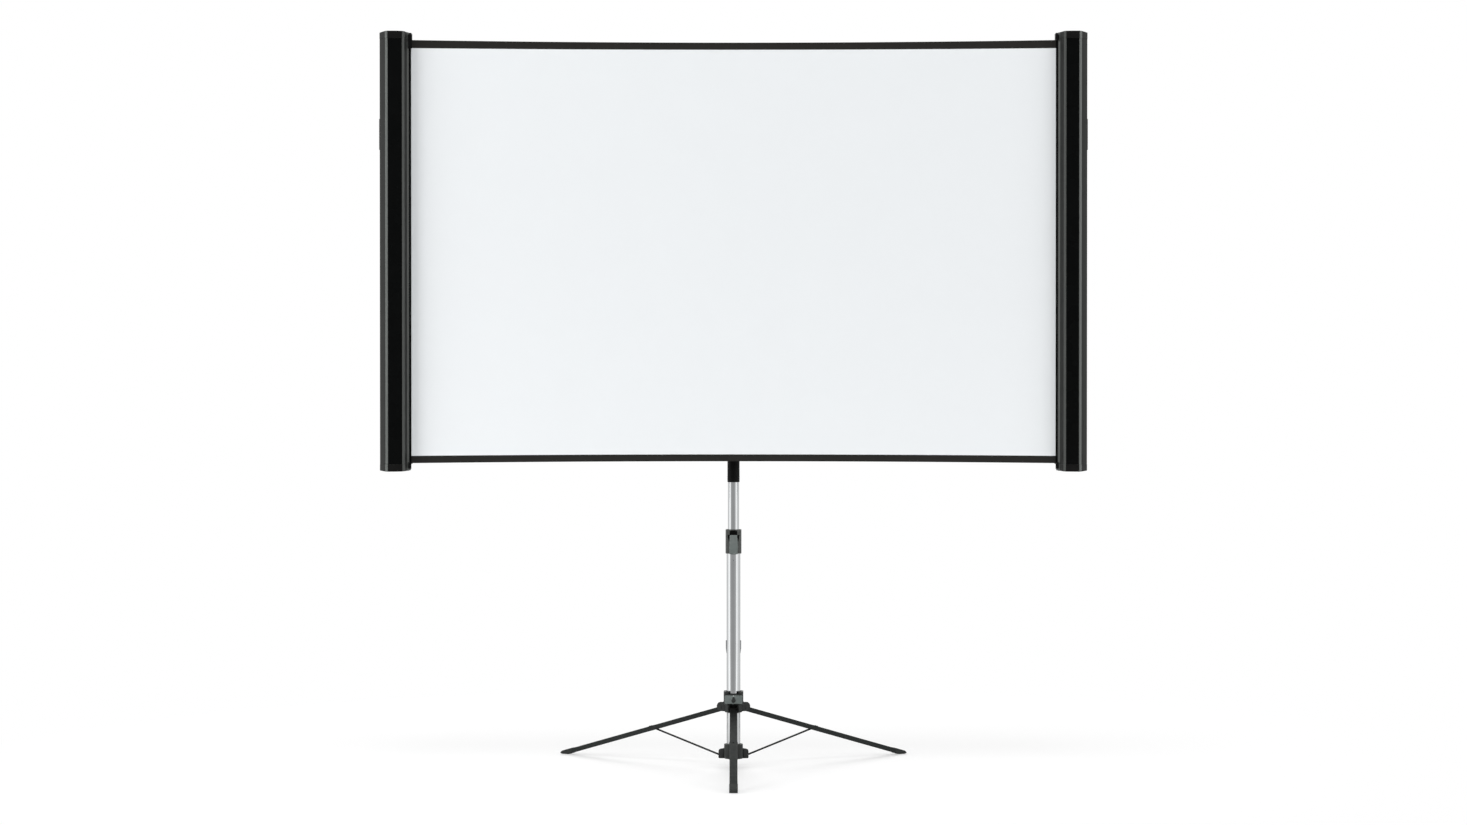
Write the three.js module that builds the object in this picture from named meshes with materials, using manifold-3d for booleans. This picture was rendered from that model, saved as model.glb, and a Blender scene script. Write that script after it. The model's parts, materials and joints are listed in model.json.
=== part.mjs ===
// A portable projection screen on a tripod. Two upright casings pull the fabric out sideways
// between them, a double scissor behind the fabric holds them apart, and a spine carries the
// scissor on the telescopic pole of a folding three-leg stand.
// Millimetres. +Z is up, the audience is towards -Y. Pieces are laid out about the pole's axis,
// and the last lines put the origin on the floor under the middle of the whole.

import * as THREE from "three";
import { mergeVertices } from "three/addons/utils/BufferGeometryUtils.js";
import Module from "manifold-3d";

const wasm = await Module();
wasm.setup();

// Clearances and facet counts
const seat = 0.3; // gap between two pieces that are fixed together
const running = 0.5; // gap round a piece that slides or turns
const overrun = 2; // how far a cut runs past the face it opens
const roundSides = 32;
const pinSides = 16;
const degree = Math.PI / 180;

// Fabric
const viewWidth = 1722; // white width between the casings' lips
const whiteHeight = 1089; // at the corners
const whiteInset = 42; // white's lower corners above the casings' lower ends
const whiteHeadroom = 44; // casings' upper ends above the white's upper corners
const borderTop = 21.5;
const borderBottom = 19.5;
const bowTopOuter = 7; // how far each tensioned edge draws in at its middle
const bowTopInner = 4.5;
const bowBottomInner = 4;
const bowBottomOuter = 5;
const sheetThickness = 1;
const bowSteps = 24;

// Casings: places across are measured outwards from the lip, depths backwards from the front
const casingRise = 30; // casings' lower ends above the socket's
const casingWidth = 84;
const casingDepth = 60.5;
const casingFront = 95; // front face ahead of the pole's axis
const casingWall = 2.2;
const lipWidth = 5; // soft lip in front of the fabric
const lipRise = 4; // how far the lip stands in front of the fabric plane
const slotDepth = 26; // fabric plane behind the casing's front
const ridgeWidth = 5; // narrow ridge beside the lip
const innerFacetWidth = 9;
const innerRidgeWidth = 6;
const innerFacetFall = 15; // how far the inner facet falls back
const ridgeFall = 1.6;
const stripWidth = 34.5;
const stripThickness = 1;
const stripRecess = 1.2;
const outerRidgeWidth = 7;
const outerRidgeFall = 2.6;
const outerFacetFall = 22;
const backCorner = 4;
const capHeight = 20;
const capCrown = 5.3; // how far a cap's crown rises above its edge
const capCrownSteps = 8;
const capProud = 0.3;
const capTabReach = 1.5; // how far the tab over the lip's end reaches past the lip
const capTabThickness = 2.5;
const capTabDrop = 4;

// Rollers inside the casings
const rollerRadius = 12.6;
const rollerWall = 1.5;
const woundThickness = 0.7;
const rollerInset = 42; // roller axis outwards from the lip
const bearingRadius = 10;
const bearingHeight = 2;
const journalLength = 10;

// Release paddles on the casings' outer sides
const paddleHeight = 83;
const paddleWidth = 14;
const paddleDrop = 232; // paddles' upper ends below the casings'
const paddleProud = 2.6;
const paddleThickness = 7;
const paddleSetback = 32; // front edge behind the casing's front

// Scissor, spine and rails
const scissorRise = 496.5; // upper pivots above the lower ones when open
const armWidth = 20;
const armThickness = 4.5;
const layerGap = 0.6;
const railInset = 30; // rail centre outwards from the lip
const railWidth = 26;
const railDepth = 5.4;
const railWall = 1.2;
const railSlot = 11;
const railBelow = 34; // rail below the lower pivot
const railTopInset = 20;
const sliderHeight = 28;
const pivotRise = 26; // lower pivots above the socket's top
const pivotPinRadius = 4;
const pivotHeadRadius = 8;
const pivotHead = 2;
const spineWidth = 30;
const spineDepth = 20;
const spineWall = 2;
const spineTopInset = 36; // spine's top below the casings' tops
const armStandoff = 4; // first arm layer ahead of the spine
const carriageWall = 3;
const carriageHeight = 28;
const socketRadius = 16.35;
const socketNeck = 60;
const socketHead = 44;
const socketWidth = 40;
const socketDepth = 30;
const spinePocket = 24; // how deep the spine stands in the socket

// Pole
const outerTubeRadius = 18.5;
const outerTubeWall = 1.5;
const outerTubeBase = 14; // above the floor
const outerTubeLength = 598;
const mastRadius = 15;
const mastWall = 1.4;
const mastBase = 205; // above the floor
const mastExposed = 128; // bare mast between the clamp and the socket
const mastNeck = 15; // where the mast's bore narrows to the spigot's
const spigotRadius = 12;
const spigotLength = 54;
const spigotRoot = 12; // narrow bore below the mast's shoulder
const mastBushHeight = 28;
const plugFlange = 6;
const plugStem = 20;
const rivetDrop = 19.3; // below the clamp
const rivetRadius = 2.4;
const rivetHead = 0.9;
const wedgeLevel = 304;
const wedgeHeight = 35;
const wedgeTaper = 14;
const wedgeWidth = 8;
const wedgeProud = 2;
const wedgeStem = 4; // square stem through the tube's wall

// Height clamp
const collarOverlap = 38; // outer tube inside the collar
const collarHeight = 64;
const collarWidth = 42.8;
const collarBack = 21;
const collarFront = 27;
const collarCorner = 9;
const leverWidth = 23.5;
const leverTopWidth = 19;
const leverTaper = 20; // height over which the lever widens, from its top
const leverLength = 49;
const leverThickness = 6.5;
const leverPivotDrop = 17; // below the collar's top
const leverPinRadius = 1.5;
const leverEye = 3;
const collarPocketDepth = 6.4;
const collarPocketFlare = 4.2; // how much wider each side of the pocket is at the lever's top
const collarArchWidth = 20.4; // rounded finger recess above the lever
const collarArchCorner = 5;
const collarArchInset = 1.2; // below the collar's top

// Tripod
const footReach = 551; // tip of a foot from the pole's axis
const footAxisRise = 8; // leg line above the floor near the tip
const footAxisInset = 12;
const pivotRadius = 32; // leg and brace pivots from the pole's axis
const hubPivotLevel = 156;
const bracePivotRise = 11; // above the lower hub's underside
const legWidth = 20;
const legWall = 1.6;
const legAbove = 7; // channel above its pivot line
const legBelow = 4; // channel below its pivot line
const legEndInset = 12; // channel ends short of the foot's tip
const legPinRadius = 2.5;
const braceThickness = 5;
const braceDepth = 4;
const braceEye = 4.8;
const footWidth = 24;
const footLength = 57;
const footSole = 38;
const footWall = 2;
const footNose = 9;
const hubFrontEarRadius = 10.8;
const hubEarRadius = 12.5;
const hubEarLift = 3.5; // rear ears' rounded ends above the leg pivots
const hubEarWidth = 28;
const hubBlockWidth = 53;
const hubBlockDepth = 50;
const hubBlockCorner = 10;
const hubBlockRise = 11.5; // block's underside above the leg pivots
const hubBlockHeight = 34;
const hubWall = 2;
const hubNotchWidth = 34; // notch in the block's top that shows the tube
const hubNotchDepth = 6;
const hubCoverWidth = 47.4;
const hubCoverHeight = 23;
const hubCoverThickness = 3;
const hubCoverInset = 2; // cover's lower edge above the block's underside
const buttonRadius = 5;
const buttonRise = 11.6;
const buttonDepth = 5;
const buttonProud = 1.2;
const lowHubRadius = 25.3;
const lowHubOverhang = 1; // hub's underside below the outer tube's end
const lowHubHeight = 46;
const lowEarRadius = 9;
const lowEarWidth = 22;
const lowEarHeight = 33;

const legAzimuths = [-90, 30, 150]; // front leg, rear right leg, rear left leg
const sides = [
  { name: "right", sign: 1 },
  { name: "left", sign: -1 },
];

// Levels above the floor, from the pole's foot up
const outerTubeTop = outerTubeBase + outerTubeLength;
const collarBase = outerTubeTop - collarOverlap;
const collarTop = collarBase + collarHeight;
const leverPivotLevel = collarTop - leverPivotDrop;
const rivetLevel = collarBase - rivetDrop;
const wedgeStemLevel = wedgeLevel + (wedgeTaper + wedgeHeight) / 2;
const socketBase = collarTop + mastExposed;
const socketTop = socketBase + socketNeck + socketHead;
const pivotLevel = socketTop + pivotRise;
const casingBase = socketBase + casingRise;
const whiteBase = casingBase + whiteInset;
const whiteTop = whiteBase + whiteHeight;
const casingTop = whiteTop + whiteHeadroom;
const spineTop = casingTop - spineTopInset;
const paddleTop = casingTop - paddleDrop;
const lowHubBase = outerTubeBase - lowHubOverhang;
const lowHubTop = lowHubBase + lowHubHeight;
const lowEarTop = lowHubBase + lowEarHeight;
const bracePivotLevel = lowHubBase + bracePivotRise;

// Finishes
const finish = (color, roughness, metalness) =>
  new THREE.MeshStandardMaterial({ color, roughness, metalness });
const anodised = finish(0x4c4e4c, 0.35, 0.8);
const stripBlack = finish(0x0e0f0f, 0.3, 0);
const capPlastic = finish(0x1c1d1d, 0.45, 0);
const softBlack = finish(0x101010, 0.9, 0);
const whiteFabric = finish(0xeef1f3, 0.85, 0);
const blackFabric = finish(0x1b1b1a, 0.9, 0);
const brightTube = finish(0xc9cbcc, 0.25, 0.9);
const clampPlastic = finish(0x4a4c4a, 0.5, 0);
const leverPlastic = finish(0x707270, 0.5, 0);
const hubPlastic = finish(0x3c3e3d, 0.5, 0);
const coverPlastic = finish(0x606866, 0.45, 0);
const paintedSteel = finish(0x3a3b3b, 0.45, 0.4);
const footRubber = finish(0x151515, 0.85, 0);
const zincSteel = finish(0xa8aaab, 0.35, 0.9);

// Solids from three.js geometry

/** A closed geometry as a solid that can be joined and cut. */
function solid(geometry) {
  const bare = geometry.clone();
  bare.deleteAttribute("normal");
  bare.deleteAttribute("uv");
  const merged = mergeVertices(bare);
  const all = Array.from(merged.index.array);
  const triangles = [];
  for (let i = 0; i < all.length; i += 3) {
    const [a, b, c] = all.slice(i, i + 3);
    if (a !== b && b !== c && c !== a) triangles.push(a, b, c);
  }
  const mesh = new wasm.Mesh({
    numProp: 3,
    vertProperties: Float32Array.from(merged.attributes.position.array),
    triVerts: Uint32Array.from(triangles),
  });
  return new wasm.Manifold(mesh);
}

/** A block between two corners, given in any order. */
function block(x0, x1, y0, y1, z0, z1) {
  const shape = new THREE.BoxGeometry(Math.abs(x1 - x0), Math.abs(y1 - y0), Math.abs(z1 - z0));
  shape.translate((x0 + x1) / 2, (y0 + y1) / 2, (z0 + z1) / 2);
  return solid(shape);
}

/** A cylinder along z from z0 to z1. */
function post(radius, z0, z1, segments = roundSides) {
  const shape = new THREE.CylinderGeometry(radius, radius, z1 - z0, segments);
  shape.rotateX(Math.PI / 2);
  shape.translate(0, 0, (z0 + z1) / 2);
  return solid(shape);
}

/** A cylinder along y from y0 to y1, centred on x and z. */
function crossPin(radius, y0, y1, x = 0, z = 0, segments = pinSides) {
  const shape = new THREE.CylinderGeometry(radius, radius, Math.abs(y1 - y0), segments);
  shape.translate(x, (y0 + y1) / 2, z);
  return solid(shape);
}

/** A cylinder along x from x0 to x1, centred on y and z. */
function sidePin(radius, x0, x1, y, z) {
  const shape = new THREE.CylinderGeometry(radius, radius, Math.abs(x1 - x0), pinSides);
  shape.rotateZ(Math.PI / 2);
  shape.translate((x0 + x1) / 2, y, z);
  return solid(shape);
}

/** A plan outline, a list of [x, y], carried up from z0 to z1. */
function upright(points, z0, z1) {
  const outline = new THREE.Shape(points.map(([x, y]) => new THREE.Vector2(x, y)));
  return uprightShape(outline, z0, z1);
}

/** A plan shape carried up from z0 to z1. */
function uprightShape(outline, z0, z1) {
  const shape = new THREE.ExtrudeGeometry(outline, {
    depth: z1 - z0,
    bevelEnabled: false,
    curveSegments: pinSides / 2,
  });
  shape.translate(0, 0, z0);
  return solid(shape);
}

/** A side shape, drawn in x and z, given a thickness from y0 to y1. */
function sideways(outline, y0, y1) {
  const shape = new THREE.ExtrudeGeometry(outline, {
    depth: y1 - y0,
    bevelEnabled: false,
    curveSegments: pinSides / 2,
  });
  shape.rotateX(Math.PI / 2);
  shape.translate(0, y1, 0);
  return solid(shape);
}

/** A shape from a list of [x, y]. */
const outlineOf = (points) => new THREE.Shape(points.map(([x, y]) => new THREE.Vector2(x, y)));

/** A profile of [radius, height] turned about the z axis. */
function turned(profile, segments = roundSides) {
  const shape = new THREE.LatheGeometry(
    profile.map(([r, z]) => new THREE.Vector2(r, z)),
    segments,
  );
  shape.rotateX(Math.PI / 2);
  return solid(shape);
}

/** A straight tube along z. */
const pipe = (outer, inner, z0, z1) =>
  turned([
    [inner, z0],
    [outer, z0],
    [outer, z1],
    [inner, z1],
    [inner, z0],
  ]);

/** A rectangle about x = 0 from yFront to yBack, with round corners. */
function roundedPlan(width, yFront, yBack, corner) {
  const half = width / 2;
  const shape = new THREE.Shape();
  shape.moveTo(-half + corner, yFront);
  shape.lineTo(half - corner, yFront);
  shape.absarc(half - corner, yFront + corner, corner, -Math.PI / 2, 0);
  shape.lineTo(half, yBack - corner);
  shape.absarc(half - corner, yBack - corner, corner, 0, Math.PI / 2);
  shape.lineTo(-half + corner, yBack);
  shape.absarc(-half + corner, yBack - corner, corner, Math.PI / 2, Math.PI);
  shape.lineTo(-half, yFront + corner);
  shape.absarc(-half + corner, yFront + corner, corner, Math.PI, Math.PI * 1.5);
  return shape;
}

/** A named mesh of one solid. */
function piece(name, body, material) {
  const { vertProperties, triVerts } = body.getMesh();
  const geometry = new THREE.BufferGeometry();
  geometry.setAttribute("position", new THREE.BufferAttribute(Float32Array.from(vertProperties), 3));
  geometry.setIndex(new THREE.BufferAttribute(Uint32Array.from(triVerts), 1));
  geometry.computeVertexNormals();
  const mesh = new THREE.Mesh(geometry, material);
  mesh.name = name;
  return mesh;
}

/** A group set at a place and turned about the y axis. */
function placed(x, y, z, turnY, ...members) {
  const group = new THREE.Group();
  group.position.set(x, y, z);
  group.rotation.y = turnY;
  group.add(...members);
  return group;
}

const lipX = viewWidth / 2;
const lipCrest = slotDepth - lipRise - ridgeFall; // depth of the lip's foremost line
const fabricY = slotDepth - casingFront;

// Fabric: one stretched sheet, white with black borders

/** A band of the sheet between two edges, each a function of x. */
function fabricBand(lower, upper) {
  const reach = lipX + rollerInset;
  const stations = [-reach];
  for (let i = 0; i <= bowSteps; i++) stations.push(-lipX + (viewWidth * i) / bowSteps);
  stations.push(reach);
  const bottom = stations.map((x) => [x, lower(x)]);
  const top = stations.map((x) => [x, upper(x)]).reverse();
  return sideways(
    outlineOf([...bottom, ...top]),
    fabricY - sheetThickness / 2,
    fabricY + sheetThickness / 2,
  );
}

/** How far an edge is drawn in at x: its bow at the middle, nothing at the lips. */
function drawnIn(bow, x) {
  const share = Math.min(1, Math.abs(x) / lipX);
  return bow * (1 - share * share);
}

function fabricPieces() {
  const edges = {
    outerTop: (x) => whiteTop + borderTop - drawnIn(bowTopOuter, x),
    innerTop: (x) => whiteTop - drawnIn(bowTopInner, x),
    innerBottom: (x) => whiteBase + drawnIn(bowBottomInner, x),
    outerBottom: (x) => whiteBase - borderBottom + drawnIn(bowBottomOuter, x),
  };
  return [
    piece("projection_surface", fabricBand(edges.innerBottom, edges.innerTop), whiteFabric),
    piece(
      "border_band_top",
      fabricBand((x) => edges.innerTop(x) + seat, edges.outerTop),
      blackFabric,
    ),
    piece(
      "border_band_bottom",
      fabricBand(edges.outerBottom, (x) => edges.innerBottom(x) - seat),
      blackFabric,
    ),
  ];
}

// Casings

/** The casing's outer outline as [across, deep], starting beside the lip. */
function casingOutline() {
  const ridgeStart = lipWidth + seat;
  const ridgeEnd = ridgeStart + ridgeWidth;
  const facetEnd = ridgeEnd + innerFacetWidth;
  const stripStart = facetEnd + innerRidgeWidth;
  const stripEnd = stripStart + stripWidth;
  const outerRidgeEnd = stripEnd + outerRidgeWidth;
  const innerFacetDeep = ridgeFall + innerFacetFall;
  const slotBack = slotDepth + running + sheetThickness / 2;
  return {
    ridgeEnd,
    innerFacetDeep,
    stripStart,
    stripEnd,
    points: [
      [ridgeStart, slotDepth - lipRise],
      [ridgeEnd, innerFacetDeep],
      [facetEnd, ridgeFall],
      [stripStart - ridgeFall, 0],
      [stripEnd + ridgeFall, 0],
      [outerRidgeEnd, outerRidgeFall],
      [casingWidth, outerRidgeFall + outerFacetFall],
      [casingWidth, casingDepth - backCorner],
      [casingWidth - backCorner, casingDepth],
      [backCorner, casingDepth],
      [0, casingDepth - backCorner],
      [0, slotBack],
      [ridgeStart, slotBack],
    ],
  };
}

/** An outline drawn in on itself by a wall, each edge moved inwards. */
function drawnInward(points, wall) {
  const count = points.length;
  const area = points.reduce((sum, [x, y], i) => {
    const [nextX, nextY] = points[(i + 1) % count];
    return sum + x * nextY - nextX * y;
  }, 0);
  const turn = Math.sign(area);
  const lines = points.map(([x, y], i) => {
    const [nextX, nextY] = points[(i + 1) % count];
    const length = Math.hypot(nextX - x, nextY - y);
    const normal = [(-(nextY - y) / length) * turn, ((nextX - x) / length) * turn];
    return { normal, offset: normal[0] * x + normal[1] * y + wall };
  });
  return lines.map((line, i) => {
    const before = lines[(i + count - 1) % count];
    const cross = before.normal[0] * line.normal[1] - before.normal[1] * line.normal[0];
    return [
      (before.offset * line.normal[1] - line.offset * before.normal[1]) / cross,
      (before.normal[0] * line.offset - line.normal[0] * before.offset) / cross,
    ];
  });
}

/** Casing outline points as plan points on one side of the screen. */
const onSide = (points, sign) =>
  points.map(([across, deep]) => [sign * (lipX + across), deep - casingFront]);

function casingPieces({ name, sign }) {
  const outline = casingOutline();
  const { points: hull, ridgeEnd, stripStart, stripEnd } = outline;
  const shellBase = casingBase + capHeight;
  const shellTop = casingTop - capHeight;
  const cavity = drawnInward(hull, casingWall);
  const slotFront = slotDepth - sheetThickness / 2 - running;
  const slotBack = slotDepth + sheetThickness / 2 + running;
  const atX = (across) => sign * (lipX + across);
  const atY = (deep) => deep - casingFront;
  const paddleBase = paddleTop - paddleHeight;

  const slotCut = block(
    atX(-overrun),
    atX(ridgeEnd),
    atY(slotFront),
    atY(slotBack),
    shellBase - overrun,
    shellTop + overrun,
  );
  const recessCut = block(
    atX(stripStart),
    atX(stripEnd),
    atY(-overrun),
    atY(stripRecess),
    shellBase - overrun,
    shellTop + overrun,
  );
  const paddleCut = block(
    atX(casingWidth - casingWall - overrun),
    atX(casingWidth + overrun),
    atY(paddleSetback - seat),
    atY(paddleSetback + paddleWidth + seat),
    paddleBase - seat,
    paddleTop + seat,
  );
  const shell = upright(onSide(hull, sign), shellBase, shellTop)
    .subtract(upright(onSide(cavity, sign), shellBase - overrun, shellTop + overrun))
    .subtract(slotCut)
    .subtract(recessCut)
    .subtract(paddleCut);

  const strip = block(
    atX(stripStart + seat),
    atX(stripEnd - seat),
    atY(stripRecess - stripThickness),
    atY(stripRecess),
    shellBase,
    shellTop,
  );
  const lip = upright(
    onSide(
      [
        [0, slotFront],
        [0, slotDepth - lipRise],
        [lipWidth / 2, lipCrest],
        [lipWidth, slotDepth - lipRise],
        [lipWidth, slotFront],
      ],
      sign,
    ),
    shellBase,
    shellTop,
  );
  const paddle = block(
    atX(casingWidth + paddleProud - paddleThickness),
    atX(casingWidth + paddleProud),
    atY(paddleSetback),
    atY(paddleSetback + paddleWidth),
    paddleBase,
    paddleTop,
  );
  return [
    piece(`casing_shell_${name}`, shell, anodised),
    piece(`front_strip_${name}`, strip, stripBlack),
    piece(`slot_lip_${name}`, lip, softBlack),
    piece(`end_cap_top_${name}`, casingCap(outline, sign, shellTop, 1), capPlastic),
    piece(`end_cap_bottom_${name}`, casingCap(outline, sign, shellBase, -1), capPlastic),
    piece(`release_paddle_${name}`, paddle, capPlastic),
    ...rollerPieces(name, sign, shellBase, shellTop),
    piece(`rear_rail_${name}`, railSolid(sign), paintedSteel),
  ];
}

/** An end cap: the casing's section, a low crown across its width and a tab over the lip's end. */
function casingCap(outline, sign, face, up) {
  const { points, ridgeEnd, innerFacetDeep, stripStart, stripEnd } = outline;
  const atX = (across) => sign * (lipX + across);
  const atY = (deep) => deep - casingFront;
  const near = face + up * seat;
  const edge = face + up * (capHeight - capCrown);
  const body = upright(
    onSide(drawnInward(points, -capProud), sign),
    Math.min(near, edge),
    Math.max(near, edge),
  );
  const middle = (stripStart + stripEnd) / 2;
  const half = (stripEnd - stripStart) / 2 + innerRidgeWidth;
  const arch = [];
  for (let i = 0; i <= capCrownSteps; i++) {
    const share = (2 * i) / capCrownSteps - 1;
    const rise = capCrown * Math.cos((share * Math.PI) / 2);
    arch.push([atX(middle + half * share), edge + up * rise]);
  }
  arch.push([atX(middle + half), edge - up * seat], [atX(middle - half), edge - up * seat]);
  const crown = sideways(outlineOf(arch), atY(0), atY(casingDepth - backCorner));
  const covered = [
    [-capTabReach, lipCrest],
    [lipWidth, lipCrest],
    [ridgeEnd, innerFacetDeep],
  ];
  const tabPlan = [
    ...covered.map(([across, deep]) => [across, deep - running]),
    ...covered.map(([across, deep]) => [across, deep - running - capTabThickness]).reverse(),
  ];
  const tabFoot = face - up * capTabDrop;
  const tab = upright(onSide(tabPlan, sign), Math.min(tabFoot, edge), Math.max(tabFoot, edge));
  const bridge = block(
    atX(-capTabReach),
    atX(ridgeEnd),
    atY(lipCrest - running),
    atY(slotDepth + running + sheetThickness / 2 + casingWall),
    near,
    edge,
  );
  return body.add(crown).add(tab).add(bridge);
}

/** Roller tube, the fabric wound on it and the two bearings that hold it. */
function rollerPieces(name, sign, shellBase, shellTop) {
  const woundRadius = rollerRadius + seat / 2 + woundThickness;
  const x = sign * (lipX + rollerInset);
  const y = fabricY + sheetThickness / 2 + seat + woundRadius;
  const tubeBase = shellBase + bearingHeight + running;
  const tubeTop = shellTop - bearingHeight - running;
  const bore = rollerRadius - rollerWall;
  const journal = bore - running;
  const bearing = (face, up) => {
    const ends = [
      [0, face + up * seat],
      [bearingRadius, face + up * seat],
      [bearingRadius, face + up * bearingHeight],
      [journal, face + up * bearingHeight],
      [journal, face + up * (bearingHeight + journalLength)],
      [0, face + up * (bearingHeight + journalLength)],
    ];
    return turned(up > 0 ? ends : ends.reverse(), pinSides);
  };
  const tube = pipe(rollerRadius, bore, tubeBase, tubeTop);
  const wound = pipe(
    woundRadius,
    rollerRadius + seat / 2,
    whiteBase - borderBottom,
    whiteTop + borderTop,
  );
  return [
    placed(x, y, 0, 0, piece(`roller_tube_${name}`, tube, zincSteel)),
    placed(x, y, 0, 0, piece(`wound_fabric_${name}`, wound, blackFabric)),
    placed(x, y, 0, 0, piece(`roller_bearing_top_${name}`, bearing(shellTop, -1), capPlastic)),
    placed(x, y, 0, 0, piece(`roller_bearing_bottom_${name}`, bearing(shellBase, 1), capPlastic)),
  ];
}

// Scissor arms, their pivots and the rails they run in

const spineFront = -spineDepth / 2;
const rearLayer = spineFront - armStandoff; // rear face of the first arm layer
const frontLayer = rearLayer - armThickness - layerGap; // rear face of the second arm layer
const arms = [
  { side: sides[0], layer: rearLayer, role: "rising" },
  { side: sides[0], layer: frontLayer, role: "falling" },
  { side: sides[1], layer: frontLayer, role: "rising" },
  { side: sides[1], layer: rearLayer, role: "falling" },
];
const railX = lipX + railInset;
const railBack = casingDepth - casingFront + seat + railDepth; // rear face of the rails
const armLength = Math.hypot(railX, scissorRise);
const openAngle = Math.atan2(scissorRise, railX);
const pinHole = pivotPinRadius + seat;

/** An arm along +x from its first pivot, with holes for three pins. */
function armSolid(layer) {
  const half = armWidth / 2;
  const outline = new THREE.Shape();
  outline.absarc(armLength, 0, half, -Math.PI / 2, Math.PI / 2);
  outline.absarc(0, 0, half, Math.PI / 2, Math.PI * 1.5);
  let arm = sideways(outline, layer - armThickness, layer);
  for (const along of [0, armLength / 2, armLength]) {
    arm = arm.subtract(crossPin(pinHole, layer - armThickness - overrun, layer + overrun, along));
  }
  return arm;
}

/** A pin of the scissor from one arm face to another with a head past each named face. */
function headedPin(rearFace, frontFace, x = 0, z = 0) {
  const stem = crossPin(pivotPinRadius, frontFace - seat, rearFace + seat, x, z);
  const front = crossPin(pivotHeadRadius, frontFace - seat - pivotHead, frontFace - seat, x, z);
  const rear = crossPin(pivotHeadRadius, rearFace + seat, rearFace + seat + pivotHead, x, z);
  return stem.add(front).add(rear);
}

function armPieces() {
  const pieces = [];
  for (const { side, layer, role } of arms) {
    const start = role === "rising" ? pivotLevel : pivotLevel + scissorRise;
    const tilt = role === "rising" ? -openAngle : openAngle;
    const turn = side.sign > 0 ? tilt : Math.PI - tilt;
    const arm = piece(`scissor_arm_${role}_${side.name}`, armSolid(layer), anodised);
    pieces.push(placed(0, 0, start, turn, arm));
  }
  for (const { name, sign } of sides) {
    const pin = headedPin(
      rearLayer,
      frontLayer - armThickness,
      (sign * railX) / 2,
      pivotLevel + scissorRise / 2,
    );
    pieces.push(piece(`crossing_pin_${name}`, pin, zincSteel));
  }
  return pieces;
}

/** Front face of the arm layer that reaches this side's rail at its lower or upper end. */
function railLayer(sign, role) {
  return arms.find((arm) => arm.side.sign === sign && arm.role === role).layer;
}

/** A stem that stands out of a casing's rail through an arm, with a head behind the arm. */
function railStem(sign, role, from, z) {
  const layer = railLayer(sign, role);
  const x = sign * railX;
  return crossPin(pivotPinRadius, from, layer + seat + pivotHead, x, z).add(
    crossPin(pivotHeadRadius, layer + seat, layer + seat + pivotHead, x, z),
  );
}

/** A casing's rear rail: a channel open to the back, closed by a boss at the lower pivot. */
function railSolid(sign) {
  const centre = sign * railX;
  const half = railWidth / 2;
  const base = railBack - railDepth;
  const railBottom = pivotLevel - railBelow;
  const railTop = casingTop - railTopInset;
  const channel = block(centre - half, centre + half, base, railBack, railBottom, railTop)
    .subtract(
      block(
        centre - half + railWall,
        centre + half - railWall,
        base + railWall,
        railBack - railWall,
        railBottom - overrun,
        railTop + overrun,
      ),
    )
    .subtract(
      block(
        centre - railSlot / 2,
        centre + railSlot / 2,
        base + railWall,
        railBack + overrun,
        railBottom - overrun,
        railTop + overrun,
      ),
    );
  const boss = block(
    centre - half + railWall / 2,
    centre + half - railWall / 2,
    base + railWall / 2,
    railBack,
    railBottom,
    pivotLevel + railBelow,
  );
  return channel.add(boss).add(railStem(sign, "falling", base + railWall, pivotLevel));
}

/** The block that runs in a rail and carries the upper end of the rising arm. */
function sliderSolid(sign) {
  const centre = sign * railX;
  const inner = railWidth / 2 - railWall - running;
  const base = railBack - railDepth + railWall + running;
  const back = railBack - railWall - running;
  const level = pivotLevel + scissorRise;
  return block(
    centre - inner,
    centre + inner,
    base,
    back,
    level - sliderHeight / 2,
    level + sliderHeight / 2,
  ).add(railStem(sign, "rising", base, level));
}

// Spine, its carriage and the socket that stands on the pole

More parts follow.
